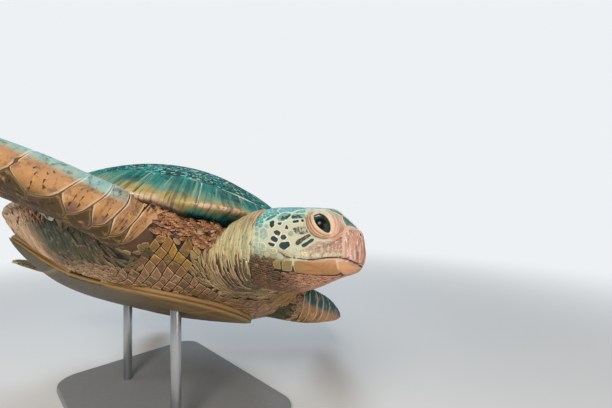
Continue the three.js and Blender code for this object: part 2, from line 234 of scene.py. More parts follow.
def blurred(values, edges, rounds):  # each round moves a vertex's value half way to its neighbours' mean
    a, b = edges.T
    size = len(values)
    count = np.maximum(np.bincount(edges.ravel(), minlength=size), 1)[:, None]
    for _ in range(rounds):
        total = np.stack(
            [np.bincount(a, v[b], size) + np.bincount(b, v[a], size) for v in values.T], 1
        )
        values = values + 0.5 * (total / count - values)
    return values


def smoothed(mesh, rounds):  # smooths facets away, then gives back the form that this took
    edges = edgesOf(mesh)
    start = placesOf(mesh)
    once = blurred(start, edges, rounds)
    setPlaces(mesh, once + blurred(start - once, edges, rounds))


class Ground:  # a surface that other pieces are laid on
    def __init__(self, mesh):
        mesh.calc_loop_triangles()
        self.places = placesOf(mesh)
        self.triangles = readAll(mesh.loop_triangles, "vertices", 3, np.int32)
        self.normals = unit(normalsOf(mesh)[self.triangles].mean(1))
        self.tree = BVHTree.FromPolygons(
            self.places.tolist(), self.triangles.tolist(), all_triangles=True
        )

    def nearest(self, points):
        flat = points.reshape(-1, 3)
        found = [self.tree.find_nearest(p) for p in flat.tolist()]
        places = np.array([f[0] for f in found])
        faces = np.array([f[2] for f in found])
        shape = points.shape
        return places.reshape(shape), self.normals[faces].reshape(shape), faces.reshape(shape[:-1])

    def shot(self, starts, ways):  # where rays meet the surface, or the nearest place to their starts
        places = []
        for start, way in zip(starts.reshape(-1, 3).tolist(), ways.reshape(-1, 3).tolist()):
            hit = self.tree.ray_cast(start, way)
            places.append(hit[0] if hit[0] is not None else self.tree.find_nearest(start)[0])
        return np.array(places).reshape(starts.shape)


# Charts: places on the animal told by what a maker would measure along it
def smoothLine(points, count):  # a Catmull-Rom line through points, at even steps
    rows = np.array(points, float)
    rows = np.vstack([2 * rows[0] - rows[1], rows, 2 * rows[-1] - rows[-2]])
    steps = np.linspace(0, len(rows) - 3, count * 4)
    i = np.minimum(steps.astype(int), len(rows) - 4)
    t = (steps - i)[:, None]
    a, b, c, d = rows[i], rows[i + 1], rows[i + 2], rows[i + 3]
    cubic = (3 * b - a - 3 * c + d) * t**3
    return evenly(0.5 * (2 * b + (c - a) * t + (2 * a - 5 * b + 4 * c - d) * t**2 + cubic), count)


# Each limb: its spine in the body frame, its half widths over its length and how far it is pitched.
limbs = {
    "fore": {
        "spine": [
            (0.190, 0.090, -0.062), (0.255, 0.118, -0.068), (0.312, 0.160, -0.072), (0.344, 0.212, -0.073),
            (0.344, 0.268, -0.068), (0.312, 0.332, -0.056), (0.256, 0.405, -0.042), (0.184, 0.482, -0.024),
            (0.102, 0.562, -0.002), (0.010, 0.640, 0.022),
        ],
        "shift": {"left": (-0.038, 0, 0.004), "right": (-0.012, 0, 0.029)},
        "pitch": {"left": -0.3, "right": 0.32},
        "lean": (0, 0),
        "halfWidth": [
            (0, 0.060), (0.15, 0.062), (0.28, 0.057), (0.36, 0.058), (0.46, 0.070), (0.58, 0.077),
            (0.73, 0.066), (0.87, 0.044), (0.96, 0.025), (1, 0.012),
        ],
    },
    "hind": {
        "spine": [
            (-0.265, 0.092, -0.052), (-0.335, 0.132, -0.058), (-0.400, 0.172, -0.062),
            (-0.466, 0.210, -0.062), (-0.530, 0.244, -0.058), (-0.588, 0.268, -0.052),
        ],
        "shift": {"left": (0, 0, 0), "right": (0, 0, 0)},
        "pitch": {"left": 0, "right": 0},
        "lean": (0.12, 0.2),
        "halfWidth": [(0, 0.050), (0.3, 0.046), (0.5, 0.054), (0.72, 0.066), (0.88, 0.056), (1, 0.020)],
    },
}
sideSign = {"left": 1, "right": -1}


def limbFrame(limb, side):  # a limb's spine, with the ways along it, to its leading edge and up from the flat
    plan = limbs[limb]
    sign = sideSign[side]
    points = []
    for i, (x, y, z) in enumerate(plan["spine"]):
        share = ramp(i, 0, 3)
        points.append(np.array((x, y * sign, z)) + share * np.array(plan["shift"][side]))
    line = smoothLine(points, 240)
    along = unit(np.gradient(line, axis=0))
    t = np.linspace(0, 1, len(line))
    pitch = plan["pitch"][side] * ramp(t, 0, 0.34)
    lean = plan["lean"]
    flat = unit(np.stack([lean[0] - 0.8 * pitch, (lean[1] - 0.6 * pitch) * sign, np.ones_like(t)], 1))
    lead = unit(np.cross(flat, along)) * -sign
    up = np.cross(along, lead) * -sign
    line = moved(line, bodyFrame)
    along, lead, up = (turnedBy(v, bodyTurn) for v in (along, lead, up))
    width = np.interp(t, *np.array(plan["halfWidth"]).T)
    return {"line": line, "along": along, "lead": lead, "up": up, "width": width}


def limbChart(points, limb, side):  # share of the length, place across to 1 at the leading edge, height
    form = limbFrame(limb, side)
    near = []
    for some in np.array_split(points, 40):
        near.append(np.linalg.norm(some[:, None] - form["line"][None], axis=2).argmin(1))
    near = np.concatenate(near)
    away = points - form["line"][near]
    across = dot(away, form["lead"][near]) / form["width"][near]
    return near / (len(form["line"]) - 1), across, dot(away, form["up"][near]), form, near


rayReach = 0.2
snoutAxis = 0.025


def headPlace(x, angle, side):  # a ray's start and way to a place round the head's long axis
    angle = np.radians(angle) * side
    out = np.stack([0 * angle, np.sin(angle), np.cos(angle)], -1)
    start = np.stack([x + 0 * angle, 0 * angle, 0 * angle + pose["headAxisLevel"]], -1) + rayReach * out
    return moved(start, headFrame), turnedBy(-out, headFrame)


def snoutPlace(turn, z, side):  # the same round an upright axis inside the snout
    turn = np.radians(turn) * side
    out = np.stack([np.cos(turn), np.sin(turn), 0 * turn], -1)
    start = np.stack([snoutAxis + 0 * turn, 0 * turn, z + 0 * turn], -1) + rayReach * out
    return moved(start, headFrame), turnedBy(-out, headFrame)


def turnOnHead(h):  # degrees round the head's long axis, from 0 at the crown to 180 below
    return np.degrees(np.arctan2(np.abs(h[..., 1]), h[..., 2] - pose["headAxisLevel"]))


def joinedLists(nodes):  # the vertices and triangles of CAD nodes, in one list each
    places, faces = [], []
    for node in nodes:
        mesh = frame["nodes"][node].data
        faces += [[v + len(places) for v in p.vertices] for p in mesh.polygons]
        places += [v.co[:] for v in mesh.vertices]
    return places, faces


# Regions: how the scales of each part of the animal are sized and coloured. Sizes are in millimetres, along
# and across; border is the pale band inside a scale's outline; colours are core, edge and bed.
regionLook = {
    "head": {
        "size": (7, 6.4), "thick": 0.7, "seam": 0.4, "border": 0.6,
        "colours": ("#b0b79f", "#d9d6bf", "#c2c1aa"),
    },
    "chin": {
        "size": (8.5, 3.4), "thick": 0.8, "seam": 0.8, "border": 0.8,
        "colours": ("#a87860", "#cb9a7c", "#5e3a2a"),
    },
    "neck": {
        "size": (26, 3.9), "thick": 0.7, "seam": 0.7, "border": 0.8,
        "colours": ("#cbc292", "#ddd7b0", "#80653c"),
    },
    "gular": {
        "size": (60, 6.8), "thick": 2.0, "seam": 3.9, "border": 1.0,
        "colours": ("#574a30", "#c8a682", "#0d120a"),
    },
    "throat": {
        "size": (20, 4.6), "thick": 1.4, "seam": 1.7, "border": 1.0,
        "colours": ("#7a6440", "#c6ab7e", "#14150b"),
    },
    "shoulder": {
        "size": (13, 3.5), "thick": 0.25, "seam": 0.35, "border": 0.9,
        "colours": ("#8a5636", "#cf9c72", "#1e0b05"),
    },
    "chest": {
        "size": (12, 11), "thick": 1.0, "seam": 0.9, "border": 1.8,
        "colours": ("#7d5a2c", "#b08a56", "#1e0f07"),
    },
    "belly": {
        "size": (12, 7), "thick": 1.0, "seam": 0.9, "border": 1.0,
        "colours": ("#7d5f40", "#a5845e", "#2a190e"),
    },
    # The axilla's and the arm's colours are their own tones made darker by painted shade, for the shade under
    # the flipper.
    "axilla": {
        "size": (36, 4.2), "thick": 1.0, "seam": 1.1, "border": 0.8,
        "colours": ("#574b33", "#7c6b4b", "#12140c"),
    },
    "arm": {
        "size": (12, 6.5), "thick": 0.5, "seam": 0.6, "border": 1.8,
        "colours": ("#5c4620", "#6d5630", "#3a2c16"),
    },
    "flipper": {
        "size": (22, 20), "thick": 1.3, "seam": 1.2, "border": 3.0,
        "colours": ("#b5803f", "#d6b287", "#5c4330"),
    },
    "hind": {
        "size": (19, 17), "thick": 1.3, "seam": 1.2, "border": 2.6,
        "colours": ("#3f4430", "#858560", "#2a281c"),
    },
    "tail": {
        "size": (12, 11), "thick": 1.0, "seam": 1.0, "border": 1.6,
        "colours": ("#575238", "#90875e", "#302b1e"),
    },
}
regionNames = list(regionLook)
regionTable = {
    key: np.array([look[key] for look in regionLook.values()], float) * 0.001
    for key in ("size", "thick", "seam", "border")
}
regionColours = np.array([[hexColour(c) for c in look["colours"]] for look in regionLook.values()])
napeHub = np.array([-0.02, 0, -0.01])  # the neck's folds run round this place in the head
fleshTree = BVHTree.FromPolygons(*joinedLists(flesh), all_triangles=True)
fleshOfFace = np.repeat(np.arange(len(flesh)), [len(frame["nodes"][n].data.polygons) for n in flesh])


def fieldsOf(points, normals):  # what laying and colouring scales need to know of places on the skin
    part = np.array(flesh)[fleshOfFace[[fleshTree.find_nearest(p)[2] for p in points.tolist()]]]
    b, h = inFrame(points, bodyFrame), inFrame(points, headFrame)
    y = np.abs(b[:, 1])
    weight = {name: np.zeros(len(points)) for name in regionNames}
    onHead = np.isin(part, ["head", "lower_jaw"]).astype(float)
    under = np.interp(h[:, 0], [-0.09, -0.057, -0.034, -0.016, 0, 0.07], [96, 94.5, 99, 104, 107, 120])
    low = ramp(turnOnHead(h) - under, -2, 2)
    weight["head"] = onHead * (1 - low)
    weight["chin"] = onHead * low
    torso = np.isin(part, ["trunk", "neck"]).astype(float)
    level = np.interp(
        b[:, 2], [-0.11, -0.081, -0.066, -0.052, -0.026, 0.017], [0.37, 0.383, 0.395, 0.417, 0.444, 0.44]
    )
    level = level + 0.6 * np.maximum(y - 0.085, 0)
    onNeck = ramp(b[:, 0] - level, -0.008, 0.008)
    throat = ramp(h[:, 2], -0.025, -0.055)
    weight["neck"] = torso * onNeck * (1 - throat)
    fold = ramp(b[:, 0] - level, 0.030, 0.055)
    weight["gular"] = torso * onNeck * throat * fold
    weight["throat"] = torso * onNeck * throat * (1 - fold)
    rest = torso * (1 - onNeck)
    shoulder = ramp(b[:, 2], -0.062, -0.048)
    weight["shoulder"] = rest * shoulder
    pit = ramp(b[:, 0], 0.338, 0.315) * ramp(b[:, 2], -0.118, -0.104) * ramp(y, 0.10, 0.13)
    weight["axilla"] = rest * (1 - shoulder) * pit
    belly = ramp(b[:, 2], -0.092, -0.104) * ramp(y, 0.062, 0.048)
    weight["belly"] = rest * (1 - shoulder) * (1 - pit) * belly
    weight["chest"] = rest * (1 - shoulder) * (1 - pit) * (1 - belly)
    t, across, height = np.zeros((3, len(points)))
    away = np.tile([1.0, 0, 0], (len(points), 1))
    away[onHead > 0] = turnedBy(np.array([-1.0, 0, 0]), headTurn)
    partsOf = {"fore": ["upper_arm", "forearm", "front_flipper"], "hind": ["hind_leg", "hind_flipper"]}
    for limb, parts in partsOf.items():
        for side in sideSign:
            mine = np.isin(part, [f"{name}_{side}" for name in parts])
            t[mine], across[mine], height[mine], form, near = limbChart(points[mine], limb, side)
            away[mine] = form["along"][near]
    arm = np.char.startswith(part, "upper_arm").astype(float)
    flipper = (np.char.startswith(part, "forearm") | np.char.startswith(part, "front")).astype(float)
    plated = arm * ramp(t, 0.20, 0.25) * ramp(height, 0.012, -0.004) * ramp(across, -0.3, 0.2)
    weight["arm"] = arm * (1 - plated)
    weight["flipper"] = flipper + plated
    weight["hind"] = np.char.startswith(part, "hind").astype(float)
    weight["tail"] = (part == "tail").astype(float)
    shares = np.stack([weight[name] for name in regionNames], 1)
    ring = unit(points - moved(napeHub, headFrame))
    around = unit(np.cross(normals, ring))
    armStart, armEnd = (
        moved(np.array([[0.29, s * 0.14, -0.07], [0.345, s * 0.27, -0.03]]), bodyFrame) for s in (-1, 1)
    )
    root = np.where(b[:, 1:2] < 0, armStart[0], armEnd[0])
    tip = np.where(b[:, 1:2] < 0, armStart[1], armEnd[1])
    out = points - root
    way = unit(tip - root)
    out = out - way * dot(out, way)[:, None]
    armGap = np.linalg.norm(out, axis=1)
    roundArm = unit(np.cross(normals, out))
    sweep = turnedBy(np.stack([0 * y + 0.3, 0.75 * np.sign(b[:, 1]), 0 * y - 0.45], 1), bodyTurn)
    forward = turnedBy(np.array([1.0, 0, 0]), bodyTurn)
    lie = (
        (weight["neck"] + weight["throat"] + weight["gular"])[:, None] * around
        + weight["axilla"][:, None] * roundArm
        + weight["shoulder"][:, None] * sweep
        + (weight["chest"] + weight["belly"])[:, None] * forward
        + (onHead + arm + flipper + weight["hind"] + weight["tail"])[:, None] * away
    )
    lie = unit(lie - normals * dot(lie, normals)[:, None])
    size = np.exp(shares @ np.log(regionTable["size"]))
    graded = np.interp(t, [0.18, 0.3, 0.45, 0.6, 0.8, 1.0], [0.6, 0.75, 1.0, 1.05, 0.8, 0.5])
    size *= np.where(weight["flipper"] > 0.5, graded, 1)[:, None]
    size *= (1 - 0.25 * weight["chest"] * ramp(b[:, 2], -0.085, -0.105))[:, None]
    return {
        "shares": shares,
        "lie": lie,
        "size": size,
        "thick": shares @ regionTable["thick"],
        "seam": shares @ regionTable["seam"],
        "border": shares @ regionTable["border"],
        "limb": np.stack([t, across, height], 1),
        "armGap": armGap,
        "b": b,
        "h": h,
    }


def picked(fields, chosen):
    return {key: values[chosen] for key, values in fields.items()}


def sharesOf(fields, *names):  # how much of each place belongs to these regions
    return fields["shares"][:, [regionNames.index(name) for name in names]].sum(1)


def markings(fields):  # core, edge and bed colours: the same for the skin and for what grows from it
    shares, b, h = fields["shares"], fields["b"], fields["h"]
    t, across, height = fields["limb"].T
    of = {name: shares[:, k] for k, name in enumerate(regionNames)}
    colours = np.einsum("nr,rkc->nkc", shares, regionColours)
    angle = turnOnHead(h)

    def paint(names, share, *texts):  # tints core, edge and bed in some regions
        for k, text in enumerate(texts):
            if text:
                amount = share * sum(of[name] for name in names)
                colours[:, k] = mixed(colours[:, k], hexColour(text), np.clip(amount, 0, 1))

    crown = ramp(angle + 300 * (h[:, 0] + 0.02), 50, 34)
    paint(["head"], crown * 0.95, "#10939c", "#9ad2ca", "#bcdccd")
    rear = ramp(h[:, 0], -0.052, -0.066) * ramp(angle, 92, 80)
    paint(["head"], rear * (1 - crown) * 0.8, "#a0b8aa", "#cfd6c2", "#bfc8b2")
    cheek = ramp(angle, 80, 92) * ramp(h[:, 0], -0.015, -0.03)
    paint(["head"], cheek, "#9fa68e", "#bcbba0", "#98957a")
    snout = ramp(h[:, 0], 0.026, 0.040)
    paint(["head"], snout * 0.9, "#c7a08c", "#dcc0b0", "#d3b6a6")
    lore = ramp(h[:, 0], 0.030, 0.036) * ramp(h[:, 0], 0.054, 0.046)
    lore = lore * ramp(angle, 20, 26) * ramp(angle, 60, 54)
    paint(["head"], lore * 0.8, "#b97f5e", "#cf9f80", "#bd8a6a")
    paint(["chin"], ramp(h[:, 0], 0.010, -0.035) * 0.95, "#30291a", "#835e40", "#0d120c")
    upper = ramp(angle, 106, 95) * ramp(h[:, 0], -0.03, -0.045)
    paint(["chin"], upper * 0.8, "#6f6d50", "#a69c76", "#34331f")
    paint(["gular"], ramp(angle, 95, 60) * 0.7, "#b5a070", "#dfcf9f", "#4b3d22")
    paint(["neck"], ramp(h[:, 0], -0.125, -0.085) * 0.7, "#b9c2a2", "#dbdfc4", "#7f7f5c")
    paint(["neck"], ramp(h[:, 2], 0.005, 0.045) * 0.75, "#a58a58", "#c39c66", "#7e5430")
    paint(["neck"], ramp(h[:, 2], -0.005, -0.03) * 0.5, "#b09c66", "#d3b883", "#44391f")
    pale = ramp(b[:, 2], -0.085, -0.105)
    paint(["chest"], pale * 0.8, "#7f5f42", "#b99873", "#26150c")
    # Painted shade: the belly skin darkens and turns greener towards the bridge at the rear, where shade
    # falls.
    behind = ramp(b[:, 0], 0.33, 0.24)
    paint(["belly"], behind * 0.9, "#3c3820", "#575034", "#14160b")
    gold = ramp(b[:, 0], 0.37, 0.39) * ramp(b[:, 2], -0.06, -0.075)
    paint(["chest"], gold * 0.5, "#a17c2c", "#bd9a4c", "")
    top = ramp(b[:, 2], -0.01, 0.02) * ramp(b[:, 0], 0.44, 0.36)
    paint(["shoulder"], top * 0.6, "#a26a4b", "#c98f70", "#5a3323")
    # Painted shadow: the axilla turns deep green and near black towards the rear and up under the flipper,
    # where shade falls.
    deep = ramp(b[:, 0], 0.32, 0.20) * ramp(b[:, 2], -0.115, -0.085)
    paint(["axilla"], deep * 0.85, "#303f30", "#566350", "#0a1a12")
    flank = ramp(b[:, 0], 0.16, 0.06) * ramp(b[:, 2], -0.15, -0.12)
    paint(["axilla", "shoulder", "chest"], flank * 0.9, "#dcb48c", "#f0dcc4", "#a87f60")
    # Painted shade: the arm darkens to deep green away from the body, under the flipper.
    paint(["arm"], ramp(t, 0.10, 0.22) * 0.75, "#2c3a22", "#3d4c30", "#14231a")
    over = ramp(height, -0.006, 0.010)  # the upper side of the limbs
    # The upper side of the flipper and arm: teal with cream edges on the left; on the right, from the elbow
    # out, a pale bluish white that is painted highlight of light from above.
    paint(["flipper", "arm"], over * (b[:, 1] > 0), "#2b5f66", "#cfc9ac", "#b5ae94")
    paint(["flipper", "arm"], over * (b[:, 1] < 0) * ramp(t, 0.28, 0.34), "#a2d0cc", "#e2ece4", "#9fc0ba")
    paint(["arm"], ramp(t, 0.32, 0.26) * ramp(height, -0.004, 0.008), "#7d4f38", "#b08564", "#34190f")
    lead = ramp(across, 0.75, 1.0) * (1 - over)
    paint(["flipper"], lead * 0.5, "#93705c", "#d3bba6", "")
    # Painted shade: the lower side of the flipper darkens towards its trailing edge.
    under = ramp(across, 0.35, -0.25) * (1 - over)
    paint(["flipper"], under * 0.9, "#57431a", "#7c6236", "#3f3018")
    paint(["hind", "tail"], ramp(height, 0.004, -0.006), "#6d5a34", "#8f7a4c", "#4a3d22")
    return colours


def growRings(bm, edges, rings, narrowing):  # extrudes a ring of edges, one unit up each time
    for ring in range(1, rings):
        grown = bmesh.ops.extrude_edge_only(bm, edges=edges)["geom"]
        corners = [g for g in grown if isinstance(g, bmesh.types.BMVert)]
        edges = [e for e in bm.edges if e.verts[0] in corners and e.verts[1] in corners]
        bmesh.ops.translate(bm, verts=corners, vec=(0, 0, 1))
        if narrowing:
            shrink = (rings - ring) / (rings - ring + 1)
            bmesh.ops.scale(bm, verts=corners, vec=(shrink, shrink, 1))
    return edges


def numberedFaces(bm, slotOf):  # faces as lists of vertex numbers, in an order told by each vertex's place
    slots = [slotOf(v.co) for v in bm.verts]
    bm.verts.index_update()
    faces = [[slots[v.index] for v in f.verts] for f in bm.faces]
    bm.free()
    return faces


def cornerOf(place, sides):
    return round(math.atan2(place.y, place.x) % (2 * math.pi) / (2 * math.pi) * sides) % sides


def makeBlank(sides, rings):  # one scale as a unit disc in rings; closed if sides is a multiple of 4
    bm = bmesh.new()
    bmesh.ops.create_circle(bm, segments=sides, radius=1.0, cap_ends=True)
    edges = growRings(bm, list(bm.edges), rings, True)
    bmesh.ops.edgeloop_fill(bm, edges=edges)
    bm.faces.ensure_lookup_table()
    bmesh.ops.poke(bm, faces=[bm.faces[-1]])
    bmesh.ops.recalc_face_normals(bm, faces=bm.faces)

    def slotOf(place):
        middle = math.hypot(place.x, place.y) < 1e-4
        return sides * rings if middle else round(place.z) * sides + cornerOf(place, sides)

    return {"sides": sides, "rings": rings, "faces": numberedFaces(bm, slotOf)}


rootPatch = 0.0015  # half the width of each scale's patch on the skin's unwrap


def joinedPlates(name, blank, places, colours, rim, border, grain, roots=None):  # all plates as one mesh
    count, size = places.shape[:2]
    faces = blank["faces"]
    loops = np.array([v for f in faces for v in f])
    starts = np.cumsum([0] + [len(f) for f in faces[:-1]])
    mesh = bpy.data.meshes.new(name)
    mesh.vertices.add(count * size)
    mesh.loops.add(count * len(loops))
    mesh.polygons.add(count * len(faces))
    corner = (loops[None] + size * np.arange(count)[:, None]).ravel()
    mesh.vertices.foreach_set("co", places.astype(np.float32).ravel())
    mesh.loops.foreach_set("vertex_index", corner.astype(np.int32))
    first = (starts[None] + len(loops) * np.arange(count)[:, None]).ravel()
    mesh.polygons.foreach_set("loop_start", first.astype(np.int32))
    shadeSmooth(mesh)
    mesh.update(calc_edges=True)
    mesh.validate()
    for key, values in (("rim", rim), ("border", border)):
        addLayer(mesh, key, np.broadcast_to(values, (count, size)))
    addLayer(mesh, "grain", grain, "FLOAT_VECTOR")
    for k, key in enumerate(("core", "edge")):
        addColours(mesh, key, colours[..., k, :])
    if roots is not None:
        turn = np.arange(size) / blank["sides"] * 2 * np.pi
        share = np.where(np.arange(size) < blank["sides"] * blank["rings"], 1, 0)
        share = share * (1 - np.arange(size) // blank["sides"] / (blank["rings"] + 1))
        patch = rootPatch * np.stack([share * np.cos(turn), share * np.sin(turn)], 1)
        flat = (roots[:, None] + patch[None]).reshape(-1, 2)
        layer = mesh.uv_layers.new(name="OFBake")
        layer.data.foreach_set("uv", flat[corner].astype(np.float32).ravel())
    return newObject(name, mesh)


# Cells: each scale fills the room between its neighbours; limits are in its own scaled frame
cellLook = {
    "neighbours": 18, "wallPoints": 14, "sameSide": 0.15, "least": 0.04, "most": 0.72, "sharpness": 20,
    "smallest": 0.10,
}
openEnd = 9  # stands for no limit


def reaches(cells, chosen, turns, walls):  # how far each cell's outline lies from its seed
    seeds, normals, size = cells["place"], cells["normal"], cells["size"]
    near = closestIn(pointTree(seeds), seeds[chosen], cellLook["neighbours"] + 1)[:, 1:]
    weight = np.sqrt(size.prod(1))
    share = weight[chosen][:, None] / (weight[chosen][:, None] + weight[near])
    gap = seeds[near] - seeds[chosen][:, None]
    facing = dot(normals[near], normals[chosen][:, None]) > cellLook["sameSide"]
    closest = closestIn(pointTree(walls), seeds[chosen], cellLook["wallPoints"])
    gap = np.concatenate([gap, 2 * (walls[closest] - seeds[chosen][:, None])], 1)
    share = np.concatenate([share, np.full(closest.shape, 0.5)], 1)
    facing = np.concatenate([facing, np.ones(closest.shape, bool)], 1)
    along, across = cells["along"][chosen][:, None], cells["across"][chosen][:, None]
    full = np.linalg.norm(gap, axis=2)
    flat = np.stack([dot(gap, along), dot(gap, across)], 2)
    flat *= (full / np.maximum(np.linalg.norm(flat, axis=2), 1e-6)).clip(1, 1.5)[..., None]
    u = flat / size[chosen][:, None]
    length = np.maximum(np.linalg.norm(u, axis=2), 1e-6)
    way = u / length[..., None]
    metres = np.linalg.norm(way * size[chosen][:, None], axis=2)
    limit = length * share - 0.5 * cells["seam"][chosen][:, None] / metres
    limit = np.where(facing, np.maximum(limit, cellLook["least"]), openEnd)
    ray = np.stack([np.cos(turns), np.sin(turns)], 1)
    facingRay = np.einsum("nkc,ac->nka", way, ray)
    bound = np.where(facingRay > 0.05, limit[..., None] / np.maximum(facingRay, 0.05), openEnd)
    sharp = cellLook["sharpness"]
    reach = ((bound**-sharp).sum(1)) ** (-1 / sharp)
    return np.minimum(reach, cellLook["most"])


def march(ground, seeds, ways, shares):  # walks from each seed along the surface, out to its outline
    place = np.repeat(seeds[:, None], ways.shape[1], 1)
    heading = ways.copy()
    rings = []
    before = 0
    for share in shares:
        place, normal, _ = ground.nearest(place + heading * (share - before))
        size = np.linalg.norm(heading, axis=2, keepdims=True)
        heading = heading - normal * dot(heading, normal)[..., None]
        heading *= size / np.maximum(np.linalg.norm(heading, axis=2, keepdims=True), 1e-9)
        rings.append((place, normal))
        before = share
    return rings


blankLook = {"small": (12, 4), "large": (18, 5)}  # sides and rings
profiles = {  # each ring's share of the reach and of the thickness, from the outside in
    "small": [(1.0, -0.6), (1.0, 0.4), (0.88, 0.84), (0.6, 0.98), (0.0, 1.0)],
    "large": [(1.0, -0.6), (1.0, 0.4), (0.955, 0.8), (0.87, 1.0), (0.5, 0.98), (0.0, 0.96)],
}


def layCells(name, ground, cells, kind, chosen, walls, skinRoots):
    sides, rings = blankLook[kind]
    turns = np.arange(sides) / sides * 2 * np.pi
    reach = reaches(cells, chosen, turns, walls)
    good = reach.min(1) > cellLook["smallest"]
    mine, reach = picked(cells, chosen[good]), reach[good]
    a = reach * np.cos(turns) * mine["size"][:, :1]
    b = reach * np.sin(turns) * mine["size"][:, 1:]
    ways = a[..., None] * mine["along"][:, None] + b[..., None] * mine["across"][:, None]
    length = np.linalg.norm(ways, axis=2)
    shares = sorted({share for share, _ in profiles[kind] if share > 0})
    walked = dict(zip(shares, march(ground, mine["place"], ways, shares)))
    walked[0] = mine["place"][:, None], mine["normal"][:, None]
    dice, thick = mine["dice"][:, None], mine["thick"][:, None, None]
    places, rim, grain = [], [], []
    for share, height in profiles[kind]:
        place, normal = walked[share]
        places.append(place + normal * thick * height)
        if share:
            rim.append(length * (1 - share))
            grain.append(np.stack([a * share, b * share, dice + 0 * a], 2))
        else:
            rim.append(length.mean(1, keepdims=True))
            grain.append(np.stack([0 * dice, 0 * dice, dice], 2))
    places, rim, grain = (np.concatenate(rows, 1) for rows in (places, rim, grain))
    colours = mine["colours"][:, None] * np.ones((1, places.shape[1], 1, 1))
    border = mine["border"][:, None]
    blank = makeBlank(sides, rings)
    return joinedPlates(name, blank, places, colours, rim, border, grain, skinRoots(mine["face"]))


def spread(ground, fields, covered, rounds, perSeed=11):  # seeds laid evenly over the open skin
    corners = ground.triangles
    sides = ground.places[corners]
    area = 0.5 * np.linalg.norm(np.cross(sides[:, 1] - sides[:, 0], sides[:, 2] - sides[:, 0]), axis=1)
    room = fields["size"].prod(1)[corners].mean(1)
    load = np.where(covered[corners].any(1), 0, area / room)
    count = int(load.sum() * 1.02)

    def drawn(number):
        faces = chance.choice(len(load), number, p=load / load.sum())
        share = chance.dirichlet((1, 1, 1), number)
        return (sides[faces] * share[..., None]).sum(1), faces

    samples, sampleFaces = drawn(count * perSeed)
    places, faces = drawn(count)
    lie = unit(fields["lie"][corners].mean(1))
    size = fields["size"][corners].mean(1)
    upright = ground.normals[sampleFaces][:, None]
    for turn in range(rounds + 1):
        near = closestIn(pointTree(places), samples, 7)
        gap = samples[:, None] - places[near]
        nearLie, nearSize = lie[faces][near], size[faces][near]
        a = dot(gap, nearLie)
        c = dot(gap, np.cross(upright, nearLie))
        far = (a / nearSize[..., 0]) ** 2 + (c / nearSize[..., 1]) ** 2
        far += ((gap**2).sum(2) - a * a - c * c).clip(0) / nearSize.prod(2)
        owner = near[np.arange(len(near)), far.argmin(1)]
        got = np.bincount(owner, minlength=len(places))
        keep = got > 2
        if turn == rounds:
            keep &= got > 0.3 * perSeed
            return places[keep], faces[keep]
        sums = np.stack([np.bincount(owner, column, len(places)) for column in samples.T], 1)
        places = np.where(keep[:, None], sums / np.maximum(got, 1)[:, None], places)[keep]
        places, _, faces = ground.nearest(places)


skinLook = {
    "voxel": 0.0035, "smoothing": 26, "coatDepth": 0.0016, "mouthDepth": 0.0020, "mouthWidth": 0.0015,
    "mostTriangles": 172000,
}
mouthLine = [  # along the head and round it: from the beak's tip to the corner of the mouth
    (0.079, 118), (0.073, 105), (0.064, 91.5), (0.053, 85.5), (0.038, 86.5), (0.022, 90.5), (0.006, 93.2),
    (-0.009, 92.6), (-0.024, 92.5), (-0.035, 88.5), (-0.040, 84.0),
]
shellTree = BVHTree.FromPolygons(*joinedLists(["carapace", "plastron"]), all_triangles=True)


def underShell(points, normals, reach=0.03):  # true where the shell covers the flesh
    rays = zip((points - normals * 0.003).tolist(), normals.tolist())
    return np.array([shellTree.ray_cast(start, way, reach)[0] is not None for start, way in rays])


foldLook = {  # for each kind of fold: how far apart, how deep, both in metres
    "gular": (0.0150, 0.0030),
    "neck": (0.0125, 0.0011),
    "shoulder": (0.0150, 0.0050),
    "axilla": (0.0140, 0.0018),
}


def foldSkin(points, fields):  # how far each point of the skin moves out along its normal
    b, h = fields["b"], fields["h"]
    of = {name: fields["shares"][:, k] for k, name in enumerate(regionNames)}
    sway = np.sin(b[:, 0] / 0.017 + 2.0) + np.sin(b[:, 1] / 0.013) + np.sin(b[:, 2] / 0.011 + 1.0)
    sway += 0.7 * np.sin((b[:, 0] + b[:, 1]) / 0.007)
    ring = np.linalg.norm(h - napeHub, axis=1)
    slant = b @ np.array([-0.55, 0, -0.84]) + np.abs(b[:, 1]) * 0.35
    away = np.zeros(len(points))
    kinds = {
        "gular": (ring, of["gular"]), "neck": (ring, of["neck"] + of["throat"]),
        "shoulder": (slant, of["shoulder"]), "axilla": (fields["armGap"], of["axilla"]),
    }
    for kind, (field, share) in kinds.items():
        apart, deep = foldLook[kind]
        wave = np.cos(2 * np.pi * field / apart + 0.45 * sway)
        away -= share * deep * (1 - np.sqrt(np.clip(0.5 + 0.5 * wave, 0, 1)))
    return away


def grooveMouth(points):  # 1 along the line between the jaws, 0 away from it
    away = np.zeros(len(points))
    h = inFrame(points, headFrame)
    angle = turnOnHead(h)
    line = smoothLine(mouthLine, 160)
    near = np.where((h[:, 0] > -0.06) & (np.abs(h[:, 1]) < 0.09) & (np.abs(h[:, 2]) < 0.09))[0]
    radius = np.hypot(h[near, 1], h[near, 2] - pose["headAxisLevel"])
    ahead = h[near, 0][:, None] - line[None, :, 0]
    around = np.radians(angle[near][:, None] - line[None, :, 1]) * radius[:, None]
    gap = np.linalg.norm(np.stack([ahead, around], 2), axis=2)
    fade = ramp(gap.argmin(1) / len(line), 1.0, 0.8)
    away[near] = fade * np.exp(-((gap.min(1) / skinLook["mouthWidth"]) ** 2))
    return away


